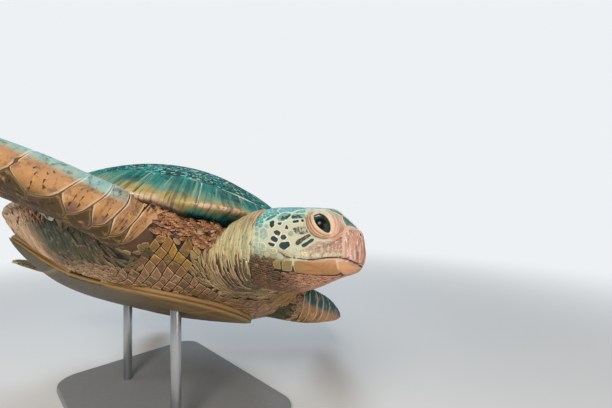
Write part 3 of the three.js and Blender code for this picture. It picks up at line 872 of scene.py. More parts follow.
def makeSkin():
    skin = copyOf("skin", flesh)
    remesh = skin.modifiers.new("voxels", "REMESH")
    remesh.mode = "VOXEL"
    remesh.voxel_size = skinLook["voxel"]
    applyModifiers(skin)
    smoothed(skin.data, skinLook["smoothing"])
    points, normals = placesOf(skin.data), normalsOf(skin.data)
    hidden = underShell(points, normals)
    group = skin.vertex_groups.new(name="hidden")
    group.add(np.where(hidden)[0].tolist(), 1.0, "REPLACE")
    trim = skin.modifiers.new("trim", "DECIMATE")
    trim.vertex_group = "hidden"
    trim.vertex_group_factor = 1000
    trim.ratio = skinLook["mostTriangles"] / (2 * len(skin.data.polygons))
    applyModifiers(skin)
    skin.vertex_groups.clear()
    points, normals = placesOf(skin.data), normalsOf(skin.data)
    fields = fieldsOf(points, normals)
    fields["mouth"] = grooveMouth(points)
    away = foldSkin(points, fields) - fields["mouth"] * skinLook["mouthDepth"] - skinLook["coatDepth"]
    setPlaces(skin.data, points + normals * away[:, None])
    shadeSmooth(skin.data)
    return skin, fields


# Shields: single plates whose outlines are laid out in a chart
def closedLine(points, count, corner):  # an outline with soft corners, at even steps
    rows = np.array(points, float)
    dense = []
    for i in range(len(rows)):
        a, b, c = rows[i - 1], rows[i], rows[(i + 1) % len(rows)]
        start, end = b + (a - b) * corner, b + (c - b) * corner
        for share in np.linspace(0, 1, 7):
            dense.append((1 - share) ** 2 * start + 2 * share * (1 - share) * b + share**2 * end)
    return evenly(np.array(dense + dense[:1]), count, False)


# Each plan has its outline in chart units, core colour, edge colour and side. A look's stretch turns chart
# units into metres; its thickness, seam and border are in millimetres; its profile is as for cells.
def layShields(name, ground, chart, plans, look, skinRoots=None):
    profile, sides = look["profile"], look["sides"]
    last = sides * (len(profile) - 1)
    stretch = np.array(look["stretch"])
    rows, walls, insides, faces = [], [], [], []
    for outline, core, edge, side in plans:

        def laid(spots):  # where places of the chart, in metres, are on the ground
            return ground.shot(*chart(spots[:, 0] / stretch[0], spots[:, 1] / stretch[1], side))

        line = closedLine(np.array(outline) * stretch, sides, look["corner"])
        middle = line.mean(0)
        ahead = np.roll(line, -1, axis=0) - np.roll(line, 1, axis=0)
        inward = unit(np.stack([-ahead[:, 1], ahead[:, 0]], 1))
        inward *= np.sign(dot(inward, middle - line).sum())
        line = line + inward * look["seam"] * 0.0005
        width = np.linalg.norm(line - middle, axis=1)
        outermost = laid(line)
        span = np.linalg.norm(outermost - outermost.mean(0), axis=1)
        if span.max() > look.get("strayFrom", 3.0) * width.max():  # the outline ran off onto another part
            continue
        places, rim, grain = [], [], []
        dice = chance.random()
        for ring, (share, height) in enumerate(profile):
            spot = middle + (line - middle) * share if share else middle[None]
            place = laid(spot)
            _, normal, face = ground.nearest(place)
            places.append(place + normal * look["thick"] * 0.001 * height)
            if ring:
                insides.append(place)
            if ring == 1:
                walls.append(place)
                arms = place - place.mean(0)
                reverse = np.cross(arms, np.roll(arms, -1, axis=0)).sum(0) @ normal.mean(0) < 0
            rim.append(width * (1 - share) if share else width.min(keepdims=True))
            start = middle if look.get("centred") else 0 * middle
            grain.append(np.column_stack([spot - start, np.full(len(spot), dice)]))
        faces.append(face[-1])
        order = np.arange(last + 1)
        if reverse:
            order[:-1] = order[:-1] // sides * sides + (-order[:-1] % sides)
        colours = np.array([hexColour(c) if isinstance(c, str) else c for c in (core, edge)])
        rows.append([np.concatenate(part)[order] for part in (places, rim, grain)] + [colours])
    places, rim, grain, colours = (np.array(part) for part in zip(*rows))
    colours = np.repeat(colours[:, None], last + 1, axis=1)
    if "tint" in look:
        look["tint"](colours, places, grain)
    roots = skinRoots(np.array(faces)) if skinRoots else None
    blank = makeBlank(sides, len(profile) - 1)
    piece = joinedPlates(name, blank, places, colours, rim, look["border"] * 0.001, grain, roots)
    return piece, np.concatenate(walls), np.concatenate(insides)


shieldProfile = [(1.0, -0.8), (1.0, 0.3), (0.985, 0.62), (0.955, 0.86), (0.90, 0.97), (0.78, 1.0)]
shieldProfile += [(0.6, 1.0), (0.4, 1.0), (0.2, 1.0), (0.0, 1.0)]
headLook = {
    "sides": 56, "profile": shieldProfile, "corner": 0.24, "stretch": (0.001, 0.001),
    "seam": 0.9, "thick": 0.9, "border": 0.9,
}
snoutLook = dict(headLook, stretch=(0.0009, 0.001))
cream, teal, inkTeal = "#dedac2", "#0f8e98", "#0c363b"
headPlans = {  # x in millimetres along the head, degrees round it from the crown
    "cheekPlate": [
        (14, 62), (20, 61), (30, 58), (40, 53.5), (46.5, 47), (49.5, 40), (50.5, 52), (52, 62), (52, 80),
        (44, 84), (30, 87), (15, 89.6), (0, 90.8), (-6, 90), (-8, 86), (-10, 82), (-2, 78), (6, 71),
    ],
    "nosePair": [(40, 1), (41, 11), (46, 19), (51, 23), (57, 16), (63, 9), (69, 1)],
    "brow": [(40, -9), (41, 0), (40, 9), (30, 12), (19, 9), (17, 0), (19, -9), (30, -12)],
    "overEye": [(38, 12), (37, 21), (24, 20), (8, 21), (-2, 23), (-9, 17), (-9, 13), (6, 12), (20, 11)],
    "crownMiddle": [
        (17, -8), (18, 0), (17, 8), (6, 11), (-8, 11), (-20, 9), (-24, 0), (-20, -9), (-8, -11), (6, -11),
    ],
    "crownPair": [
        (-24, 1), (-20, 10), (-13, 13.5), (-18, 16.5), (-28, 22), (-33, 29), (-44, 29.5), (-53, 33),
        (-60, 27), (-60, 1),
    ],
    "crownFront": [(-30, 30), (-26.5, 23.5), (-17, 18), (-12.5, 22), (-12.5, 28.5), (-25, 32)],
    "crownRing": [
        (-52, 43.5), (-50.5, 36), (-43.5, 31.5), (-34.5, 31.5), (-33, 36), (-35, 41.5), (-40, 46.5),
        (-47, 48),
    ],
    "crownRear": [(-71, 50.5), (-70, 44.5), (-66, 39), (-57.5, 34.5), (-53.5, 37.5), (-59, 45), (-66.5, 49)],
    "templeTop": [
        (-31, 34), (-22.5, 32.5), (-12, 30), (-9, 35), (-10.5, 37), (-19, 39), (-27, 41.5), (-30.5, 39.5),
    ],
    "templeEye": [(-10.5, 20), (-3, 24), (3, 30), (1, 36.5), (-5, 36), (-9.5, 29)],
    "behindEye": [(-22.5, 54), (-18, 51), (-7, 48), (-3, 50), (1, 56), (-3, 58), (-13, 60.5), (-21, 57.5)],
    "rearHigh": [(-75, 60.5), (-68, 57), (-60, 61.5), (-57, 70), (-64, 75), (-72.5, 72.5)],
    "rearLow": [(-73, 78.5), (-65.5, 76.5), (-59, 80.5), (-58.5, 88), (-66, 89.5), (-72, 85.5)],
    "cornerHigh": [(-53, 83.5), (-43, 82.5), (-39.5, 88), (-46.5, 91), (-53, 89)],
    "corner": [(-35, 83.5), (-27, 85.5), (-19, 85.5), (-9.5, 87), (-8.5, 89.6), (-22, 89.8), (-31, 87)],
    "slant": [
        (-15, 70.5), (-12, 67), (1.5, 56.5), (5.5, 57), (0.5, 62.5), (-7, 70), (-12.5, 74.5), (-14.5, 73.5),
    ],
    "slantLow": [(-6.5, 74.5), (-2.5, 70.5), (7.5, 61.7), (11, 61), (4, 70), (-3.5, 75.5)],
    "jawPlate": [
        (-14, 95.5), (0, 95.8), (15, 95), (30, 92.4), (43, 90), (45, 99), (47.5, 112), (52, 125), (44, 128),
        (28.6, 121), (7.3, 116.5), (-13, 113), (-15, 104),
    ],
    "jawSecond": [(-16.5, 96), (-17, 112), (-31, 111), (-33, 102), (-27, 95.5)],
    "jawThird": [(-35, 98), (-33, 110), (-44, 109), (-47, 101), (-42, 97)],
    "lore": [
        (43, 34), (45, 25), (50, 28), (47.5, 36), (45, 43), (38.5, 49.5), (33.5, 52.5), (36, 47), (40.5, 42),
    ],
}
templePlans = [  # the dark patches behind the eye
    [(-51, 62), (-45.5, 59.5), (-39.5, 62), (-40.5, 66), (-47.5, 65.5)],
    [(-52.5, 68.5), (-48, 67.5), (-41.5, 71), (-43, 74.5), (-48, 74.5), (-53.5, 72)],
    [(-37.5, 65), (-32.5, 64), (-29, 66.5), (-31.5, 70), (-36, 70.5), (-38.5, 68)],
    [(-57, 77), (-51, 76.5), (-45, 78), (-47, 80.5), (-51.5, 81)],
    [(-39, 79), (-37, 74.5), (-25, 71.5), (-22, 76), (-30.5, 83.5), (-36.5, 81)],
    [(-61.5, 49), (-55.5, 47), (-52.5, 55), (-55.5, 58), (-60, 55)],
    [(-48.5, 50), (-42, 48.8), (-42.5, 52.5), (-46, 52.5)],
    [(-34, 51), (-30, 54), (-29.5, 56.5), (-34.5, 56.5), (-34.5, 54)],
    [(-26, 46), (-25, 43.5), (-18, 41.5), (-16.5, 43.5), (-22, 46.5)],
    [(-14, 40), (-11.5, 38.8), (-9.5, 41), (-10.5, 43), (-13, 42.5)],
]
snoutPlans = {  # degrees round the snout, height in millimetres
    "beak": [
        (0, 29), (9, 32.5), (20, 35), (34, 35.5), (44, 32), (50, 22), (49, 10), (49, -5), (40, -8), (30, -11),
        (18, -15), (8, -20), (0, -23), (-8, -20), (-18, -15), (-30, -11), (-40, -8), (-49, -5), (-49, 10),
        (-50, 22), (-44, 32), (-34, 35.5), (-20, 35), (-9, 32.5),
    ],
    "lowerBeak": [
        (61, -13), (50, -10.8), (40, -13), (30, -16), (18, -19.6), (8, -24.2), (0, -27), (-8, -24.2),
        (-18, -19.6), (-30, -16), (-40, -13), (-50, -10.8), (-61, -13), (-56, -24), (-50, -29), (-39, -34),
        (-30, -34.5), (-15, -33), (0, -32), (15, -33), (30, -34.5), (39, -34), (50, -29), (56, -24),
    ],
}


def headChart(x, angle, side):
    return headPlace(x * 0.001, angle, side)


def snoutChart(turn, z, side):
    return snoutPlace(turn, z * 0.001, side)


bothSides = (1, -1)
shieldTints = {  # names of plans with their core and edge colours
    "head_shields": {
        "crownPair": (teal, cream), "crownFront": ("#5fb0a8", cream), "crownRear": ("#1f8a90", cream),
        "overEye": ("#a3b5a0", cream), "nosePair": ("#5f827d", "#dccabb"), "lore": ("#b9805f", "#d3a98c"),
    },
    "pale_shields": {
        "templeEye": ("#a9c2b8", cream), "rearHigh": ("#93b0a6", cream), "rearLow": ("#97aa98", cream),
        "cornerHigh": ("#a3a78a", cream), "corner": ("#c4ba98", "#cfc4a6"),
    },
    "mottled_shields": {
        "behindEye": ("#aaa78c", cream), "templeTop": ("#8fb3a4", cream), "crownRing": ("#7fb0a8", cream),
        "slant": ("#80604f", cream),
    },
    "cheek_shields": {"cheekPlate": ("#b59c88", "#e4d8c8")},
    "jaw_shields": {
        "jawPlate": ("#a8794c", "#cda07c"), "jawSecond": ("#7d7048", "#b8a278"),
        "jawThird": ("#5f6038", "#a08c58"),
    },
}


def makeHeadShields(ground, skinRoots):
    plans = {
        name: [(headPlans[key], core, edge, s) for key, (core, edge) in tints.items() for s in bothSides]
        for name, tints in shieldTints.items()
    }
    middles = [(headPlans["brow"], "#6f9889", cream, 1), (headPlans["crownMiddle"], "#32908e", cream, 1)]
    plans["head_shields"] = middles + plans["head_shields"]
    plans["temple_shields"] = [(outline, inkTeal, cream, s) for outline in templePlans for s in bothSides]
    plans["temple_shields"] += [(headPlans["slantLow"], "#15403f", cream, s) for s in bothSides]
    plans["beak"] = [(snoutPlans["beak"], "#c79a88", "#e4c2b4", 1)]
    plans["lower_beak"] = [(snoutPlans["lowerBeak"], "#cf9a72", "#dfb392", 1)]
    jaw = dict(headLook, thick=1.1, border=1.3, seam=0.3, corner=0.16, tint=tintJaw)
    layers = {
        "head_shields": (headChart, headLook),
        "pale_shields": (headChart, headLook),
        "mottled_shields": (headChart, dict(headLook, seam=-1.6, border=1.0)),
        "temple_shields": (headChart, dict(headLook, seam=-2.9, border=1.6)),
        "cheek_shields": (headChart, dict(headLook, thick=1.3, tint=tintCheek)),
        "jaw_shields": (headChart, jaw),
        "beak": (snoutChart, dict(snoutLook, sides=96, thick=1.7, tint=tintBeak)),
        "lower_beak": (snoutChart, dict(snoutLook, sides=96, thick=1.4, border=1.6)),
    }
    pieces, walls, insides = {}, [], []
    for name, (chart, look) in layers.items():
        pieces[name], wall, inside = layShields(name, ground, chart, plans[name], look, skinRoots)
        walls.append(wall)
        insides.append(inside)
    return pieces, np.concatenate(walls), np.concatenate(insides)


nostrilLook = {"turn": 9.5, "height": 0.027, "radius": 0.0024, "tall": 1.5, "rim": 0.0011, "lift": 0.0015}


def makeNostril(side, ground):  # a dark pit, which is painted shade in the nostril's opening, with a raised rim round it
    place = ground.shot(*snoutPlace([nostrilLook["turn"]], nostrilLook["height"], sideSign[side]))
    place, normal, _ = ground.nearest(place)
    place = place[0] + normal[0] * nostrilLook["lift"]
    turn = Vector(normal[0]).to_track_quat("Z", "Y").to_matrix().to_4x4()
    where = Matrix.Translation(Vector(place)) @ turn @ Matrix.Diagonal((1, nostrilLook["tall"], 1, 1))
    rim, pit = bmesh.new(), bmesh.new()
    out = Matrix.Translation((nostrilLook["radius"] + nostrilLook["rim"] * 0.6, 0, 0))
    ring = out @ Matrix.Rotation(math.pi / 2, 4, "X")
    bmesh.ops.create_circle(rim, segments=10, radius=nostrilLook["rim"], matrix=ring)
    whole = {"geom": rim.edges[:] + rim.verts[:], "angle": 2 * math.pi, "steps": 28, "use_merge": True}
    bmesh.ops.spin(rim, cent=(0, 0, 0), axis=(0, 0, 1), **whole)
    bmesh.ops.remove_doubles(rim, verts=rim.verts, dist=1e-6)
    bmesh.ops.transform(rim, matrix=where, verts=rim.verts)
    flat = where @ Matrix.Diagonal((1, 1, 0.35, 1))
    bmesh.ops.create_uvsphere(pit, u_segments=24, v_segments=12, radius=nostrilLook["radius"], matrix=flat)
    pieces = {}
    for kind, bm in (("rim", rim), ("pit", pit)):
        name = f"nostril_{kind}_{side}"
        bmesh.ops.recalc_face_normals(bm, faces=bm.faces)
        pieces[name] = newObject(name, newMesh(name, bm))
    return pieces


# Edge and next tell where the seams across a row cross the flipper's length, from elbow to tip; bounds are
# the seams between rows, round the flipper.
plateRows = {
    "edge": [0.248, 0.268, 0.293, 0.322, 0.363, 0.454, 0.55, 0.64, 0.72, 0.79, 0.85, 0.90, 0.945, 0.985],
    "next": [0.256, 0.283, 0.315, 0.345, 0.416, 0.50, 0.59, 0.68, 0.76, 0.83, 0.89, 0.94, 0.985],
    "bounds": [-2.0, -1.75, -1.5, -1.15, -0.62, 0.33, 0.85, 1.25, 1.62, 2.0],
    "kinds": ["edge", "next"] * 4 + ["edge"],
    # The rows under the leading row are dark brown: their own tone made darker by painted shade on the
    # flipper's underside.
    "colours": [("#473617", "#6d5730")] * 3 + [("#4d3b18", "#7a6038")] + [("#c8955e", "#dcbb9a")] * 5,
    "halved": [0, 1, 7, 8],
    "bulge": [0.006, 0.008, 0.010, 0.0, 0.012, 0.010, 0.010, 0.008, 0.006],
    "leading": 4,  # the row of the broad plates; the ones below are for its points
    "lowAt": 0.36,
    "high": -0.27,
    "sag": 0.05,
    "rise": 0.23,
    "lean": 0.035,
    "zig": 0.03,
    "firstOver": 0.363,  # no plates nearer to the elbow above the leading row
}
plateProfile = shieldProfile[:5] + [(0.77 - 0.13 * k, 1.0) for k in range(6)] + [(0.0, 1.0)]
plateLook = {
    "sides": 42, "profile": plateProfile, "corner": 0.06, "stretch": (0.77, 0.058),
    "seam": 1.3, "thick": 1.2, "border": 2.4,
}


def flipperPlans(side):  # rows of plates like bricks with bowed seams; the leading row hangs down in points
    bounds, zig, leading = plateRows["bounds"], plateRows["zig"] / 2, plateRows["leading"]
    rows = []
    for k, kind in enumerate(plateRows["kinds"]):
        cuts = plateRows[kind]
        if k in plateRows["halved"]:
            cuts = sorted(cuts + [(a + b) / 2 for a, b in zip(cuts, cuts[1:])])
        rows.append(cuts)
    under, high, low = [], plateRows["high"], bounds[leading]  # the seam below the leading row
    for a, b in zip(rows[leading], rows[leading][1:]):
        point = b - plateRows["lowAt"] * (b - a)
        under += [(a, high), ((a + point) / 2, (high + low) / 2 - plateRows["sag"])]
        for share in (0, 0.3, 0.65):
            bow = 0.9 * share * (1 - share)
            under.append((point + (share - bow) * (b - point), low + share * (high - low)))
    under.append((rows[leading][-1], high))
    rows[leading - 1] = [rows[leading][0]] + [t for t, level in under if level == low]

    def rise(k, t):  # towards the elbow the leading row reaches over onto the top
        return plateRows["rise"] * np.interp(t, [0.37, 0.44], [1, 0]) if k == leading + 1 else 0

    def along(k, a, b):  # the seam on bound k from one end of a plate to the other, with its corners
        if k in (0, len(bounds) - 1):
            return [(a, bounds[k]), (b, bounds[k])]
        if k == leading:
            return [place for place in under if a <= place[0] <= b]
        corners = {t: zig for t in rows[k - 1]} | {t: -zig for t in rows[k]}
        return [(t, bounds[k] + rise(k, t) + corners[t]) for t in sorted(corners) if a <= t <= b]

    def bowed(t, level, k):  # where the seam across row k that starts at t has got to at a level
        top = bounds[k + 1] + rise(k + 1, t)
        share = min(max((top - level) / (top - (high if k == leading else bounds[k])), 0), 1)
        lean = plateRows["lean"] * share**2 if k == leading - 1 else 0
        bulge = plateRows["bulge"][k] * 4 * share * (1 - share)
        return t + (lean - bulge) * np.interp(t, [0.25, 0.4], [0.35, 1])

    plans = []
    for k, cuts in enumerate(rows):
        for a, b in zip(cuts, cuts[1:]):
            if k > leading and a < plateRows["firstOver"]:
                continue
            top, bottom = along(k + 1, a, b), along(k, a, b)
            if k == leading - 1:
                ends = [bowed(t, bounds[k], k) for t in (a, b)]
                bottom = [(ends[0], bounds[k])] + [p for p in bottom if ends[0] < p[0] < ends[1]]
                bottom.append((ends[1], bounds[k]))
            if len(top) < 2 or len(bottom) < 2:
                continue
            far = np.linspace(top[-1][1], bottom[-1][1], 7)
            near = np.linspace(bottom[0][1], top[0][1], 7)
            outline = top[1:-1] + [(bowed(b, level, k), level) for level in far]
            outline += bottom[-2:0:-1] + [(bowed(a, level, k), level) for level in near]
            core, edge = plateRows["colours"][k]
            plans.append((outline, core, edge, sideSign[side]))
    return plans


edgeTurn = 0.35  # share of the half width where the chart turns over an edge of the flipper


def flipperChart(side):  # share of the length; 0 at the leading edge, to 2 over the top and -2 below
    form = limbFrame("fore", side)

    def chart(t, level, _):
        k = np.clip(t, 0, 1) * (len(form["line"]) - 1)
        whole = np.minimum(k.astype(int), len(form["line"]) - 2)
        part = (k - whole)[:, None]
        keys = ("line", "lead", "up")
        line, lead, up = (form[key][whole] * (1 - part) + form[key][whole + 1] * part for key in keys)
        width = form["width"][whole][:, None]
        out = np.abs(level)
        hub = line + lead * width * np.clip(1 - out, edgeTurn - 1, 1 - edgeTurn)[:, None]
        tilt = np.minimum(out / edgeTurn, 1) + np.clip((out - 2 + edgeTurn) / edgeTurn, 0, 1)
        tilt = (tilt * np.pi / 2)[:, None]
        way = unit(lead * np.cos(tilt) + up * np.sin(tilt) * np.sign(level + 1e-9)[:, None])
        return hub + way * 0.06, -way

    return chart


def tintFlipper(side):
    def tint(colours, places, grain):
        t, across, height, _, _ = limbChart(places.reshape(-1, 3), "fore", side)
        over = ramp(height, -0.004, 0.010) * (1 if side == "left" else ramp(t, 0.27, 0.32))
        over, lead = over.reshape(places.shape[:2]), ramp(across, 0.75, 0.98).reshape(places.shape[:2])
        # On the right flipper the upper side is a pale bluish white: painted highlight of light from above.
        upper = ("#2b5f66", "#cfc9ac") if side == "left" else ("#a2d0cc", "#e6efe6")
        # Painted shade: each plate darkens towards the lower part of the leading row and below it.
        shade = ramp(grain[..., 1] / plateLook["stretch"][1], -0.15, -0.60)
        tinted(colours, 0, "#a3806e", lead * 0.4)
        tinted(colours, 0, "#54401a", shade * 0.85)
        tinted(colours, 0, upper[0], over)
        tinted(colours, 1, "#86704a", shade * 0.8)
        tinted(colours, 1, upper[1], over)

    return tint


def makeFlipperPlates(side, ground, skinRoots):
    look, plans = dict(plateLook, tint=tintFlipper(side)), flipperPlans(side)
    return layShields(f"plates_flipper_{side}", ground, flipperChart(side), plans, look, skinRoots)


def tintCheek(colours, places, grain):  # brown above, cream towards the mouth
    h = inFrame(places, headFrame)
    low = ramp(h[..., 2], 0.004, -0.010) + 0.5 * ramp(h[..., 0], 0.010, -0.010)
    tinted(colours, 0, "#dcd3a8", np.clip(low, 0, 1) * 0.85)
    front = ramp(h[..., 0], 0.020, 0.045) * ramp(h[..., 2], -0.004, 0.010)
    tinted(colours, 0, "#a9796a", front * 0.8)


def tintJaw(colours, places, grain):  # greener at the back, paler under the mouth
    h = inFrame(places, headFrame)
    tinted(colours, 0, "#84754a", ramp(h[..., 0], 0.008, -0.014) * 0.8)
    tinted(colours, 0, "#d0a487", ramp(h[..., 2], -0.020, -0.012) * 0.6)


def tintBeak(colours, places, grain):  # orange down the front, pale along the cutting edge
    h = inFrame(places, headFrame)
    front = ramp(np.abs(h[..., 1]), 0.013, 0.004) * ramp(h[..., 2], 0.020, 0.006)
    tinted(colours, 0, "#c9704a", front * 0.9)
    tinted(colours, 0, "#d8a088", ramp(h[..., 2], 0.0, -0.012) * 0.7)


eyeLook = {
    "place": (0.014, 0.035, 0.037),
    "radius": 0.0175,
    "gaze": (0.25, 0.9, 0.25),
    "cornerRear": (0.0046, 0.0346, 0.0529),
    "cornerFront": (0.0291, 0.0416, 0.0304),
    "openingHalfHeight": 0.0088,
    "lidLine": [  # on the head's own skin, round the outer edge of the lids
        (-0.0084, 0.0429, 0.0471), (-0.0012, 0.0502, 0.0343), (0.0092, 0.0503, 0.0263),
        (0.0186, 0.0482, 0.0216), (0.0345, 0.0411, 0.0218), (0.0438, 0.0331, 0.0291),
        (0.0447, 0.0256, 0.0404), (0.0387, 0.0190, 0.0512), (0.0236, 0.0125, 0.0600),
        (0.0041, 0.0125, 0.0615), (-0.0082, 0.0252, 0.0585),
    ],
    "bulge": 0.0030,
    "folds": 5,
    "foldDepth": 0.00062,
    "sides": 96,
}


def ringTube(sides, rings):  # faces of a closed band: rings in a loop, each with sides corners
    bm = bmesh.new()
    bmesh.ops.create_circle(bm, segments=sides, radius=1.0)
    first = list(bm.edges)
    bmesh.ops.bridge_loops(bm, edges=first + growRings(bm, first, rings, False))

    def slotOf(place):
        return round(place.z) * sides + cornerOf(place, sides)

    return numberedFaces(bm, slotOf)


def makeLids(side, ground):
    sign = sideSign[side]
    flip = np.array([1, sign, 1])
    centre = np.array(eyeLook["place"]) * flip
    gaze = unit(np.array(eyeLook["gaze"]) * flip)
    rear, front = (np.array(eyeLook[key]) * flip - centre for key in ("cornerRear", "cornerFront"))
    long = unit(front - rear)
    long = unit(long - gaze * (long @ gaze))
    wide = np.cross(gaze, long)
    if wide[2] < 0:
        wide = -wide
    sides, radius = eyeLook["sides"], eyeLook["radius"]
    turns = np.arange(sides) / sides * 2 * np.pi
    half = np.linalg.norm(front - rear) / 2
    middle = (rear + front) / 2
    middle = middle - gaze * (middle @ gaze)
    u = np.cos(turns) * half
    v = np.sin(turns) * eyeLook["openingHalfHeight"] * (1 - 0.18 * np.cos(turns) ** 2)
    flat = middle + u[:, None] * long + v[:, None] * wide
    opening = flat + gaze * np.sqrt(np.maximum(radius**2 - (flat**2).sum(1), 1e-6))[:, None]
    outer = smoothLine(np.array(eyeLook["lidLine"] + eyeLook["lidLine"][:1]) * flip - centre, 400)
    angle = np.arctan2(outer @ wide, outer @ long)
    order = np.argsort(angle)
    spans = np.stack([np.interp(turns, angle[order], outer[order, k], period=2 * np.pi) for k in range(3)], 1)
    spans = moved(spans + centre, headFrame)
    skinPlace, skinNormal, _ = ground.nearest(spans)
    opening = moved(opening + centre, headFrame)
    middleWorld = moved(centre, headFrame)
    lip = [middleWorld + unit(opening - middleWorld) * radius * k for k in (0.93, 1.0, 1.045)]
    steps = np.linspace(0, 1, 22)[1:]
    rings = lip
    for share in steps:
        place = opening + (skinPlace - opening) * share
        out = unit(place - middleWorld)
        bulge = eyeLook["bulge"] * np.sin(np.pi * min(share * 1.15, 1)) ** 0.8
        wave = np.cos(2 * np.pi * (eyeLook["folds"] * share + 0.1 * np.sin(turns * 2)))
        fold = eyeLook["foldDepth"] * wave
        fade = ramp(share, 0.0, 0.12) * ramp(share, 1.0, 0.88)
        top = ramp(np.sin(turns), -0.4, 0.6)
        height = radius * 1.035 * (1 - share) + np.linalg.norm(skinPlace - middleWorld, axis=1) * share
        place = middleWorld + out * (height + bulge + fold * fade * (1.2 - 0.5 * top))[:, None]
        rings.append(place)
    tuck = skinPlace - skinNormal * 0.0025
    rings += [tuck, middleWorld + (tuck - middleWorld) * 0.85]
    share = np.concatenate([[0, 0, 0], steps, [1, 1]])
    mesh = bpy.data.meshes.new(f"lids_{side}")
    mesh.from_pydata(np.concatenate(rings).tolist(), [], ringTube(sides, len(rings)))
    addLayer(mesh, "lid", np.repeat(share, sides))
    addLayer(mesh, "turn", np.tile(np.sin(turns), len(rings)))
    addLayer(mesh, "ahead", np.tile(np.cos(turns), len(rings)))
    bm = opened(mesh)
    bmesh.ops.recalc_face_normals(bm, faces=bm.faces)
    closed(bm, mesh)
    shadeSmooth(mesh)
    return newObject(f"lids_{side}", mesh), rings[-3], np.concatenate(rings[3:-2])


def makeEye(side):
    eye = copyOf(f"eyeball_{side}", [f"eye_{side}"])
    refined(eye, 2, 4)
    flip = np.array([1, sideSign[side], 1])
    out = unit(inFrame(placesOf(eye.data), headFrame) - np.array(eyeLook["place"]) * flip)
    addLayer(eye.data, "gaze", out @ unit(np.array(eyeLook["gaze"]) * flip))
    return eye


def refined(piece, cuts, rounds):  # more and smaller faces, then the facets smoothed away
    bm = opened(piece.data)
    bmesh.ops.subdivide_edges(bm, edges=bm.edges, cuts=cuts, use_grid_fill=True)
    closed(bm, piece.data)
    smoothed(piece.data, rounds)
    shadeSmooth(piece.data)


shellLook = {
    "unit": 0.95,  # metres for each unit of the shell's plan
    "centre": -0.02,
    "rim": [
        (0.48, 0), (0.483, 0.06), (0.455, 0.155), (0.385, 0.245), (0.27, 0.325), (0.1, 0.382),
        (-0.06, 0.392), (-0.22, 0.345), (-0.36, 0.235), (-0.46, 0.1), (-0.5, 0),
    ],
    "rimAt": (-0.48, -0.23, 0.07, 0.29, 0.405, 0.46, 0.505),  # along the shell from its centre
    "rimLevel": (-0.006, -0.020, -0.022, -0.009, -0.001, -0.002, 0.026),
    "innerSeam": 0.86,
    "underSeam": 1.20,
    "turnStart": 0.975,
    "nuchalHalf": 0.060,
    "firstMarginal": 0.095,
    "marginals": 12,
}
halfRim = smoothLine(shellLook["rim"], 600)
rimWalk = walkedAlong(halfRim)
shellCentre = np.array([shellLook["centre"], 0])


def rimPlace(walked):  # plan place on the rim, walked from the front; below 0 on the other side
    x = np.interp(np.abs(walked), rimWalk, halfRim[:, 0])
    y = np.interp(np.abs(walked), rimWalk, halfRim[:, 1])
    return np.stack([x, y * np.sign(walked)], -1)


def planChart(sign):  # places of the shell's plan, met from above (1) or from below (-1)
    def chart(x, y, side):
        place = np.stack([x, y * side, np.full_like(x, 0.55 * sign)], 1) * shellLook["unit"]
        way = turnedBy(np.array([0, 0, -1.0 * sign]), bodyTurn)
        return moved(place, bodyFrame), np.broadcast_to(way, place.shape)

    return chart


def rimChart(ground):  # walked along the rim, and out to 1 at its edge and on to 2 below
    start = shellLook["turnStart"]
    walk = np.linspace(-rimWalk[-1], rimWalk[-1], 241)
    inside = shellCentre + (rimPlace(walk) - shellCentre) * start
    level = 0
    for sign in bothSides:
        place = ground.shot(*planChart(sign)(inside[:, 0], inside[:, 1], 1))
        level = level + inFrame(place, bodyFrame)[:, 2] / 2

    def chart(walked, out, side):
        edge = rimPlace(walked)
        share = np.minimum(np.minimum(out, 2 - out), start)
        place = shellCentre + (edge - shellCentre) * share[:, None]
        tilt = np.clip((1 - out) / (1 - start), -1, 1) * np.pi / 2
        way = np.column_stack([unit(edge - shellCentre) * np.cos(tilt)[:, None], np.sin(tilt)])
        hub = np.column_stack([place * shellLook["unit"], np.interp(walked, walk, level)])
        return moved(hub + way * 0.3, bodyFrame), turnedBy(-way, bodyTurn)

    return chart


def innerRim(fromX, toX):  # points of the marginals' inner seam between two places along the shell
    line = shellCentre + (halfRim - shellCentre) * shellLook["innerSeam"]
    low, high = min(fromX, toX), max(fromX, toX)
    line = line[(line[:, 0] > low) & (line[:, 0] < high)][::6]
    return [tuple(p) for p in (line if fromX > toX else line[::-1])]


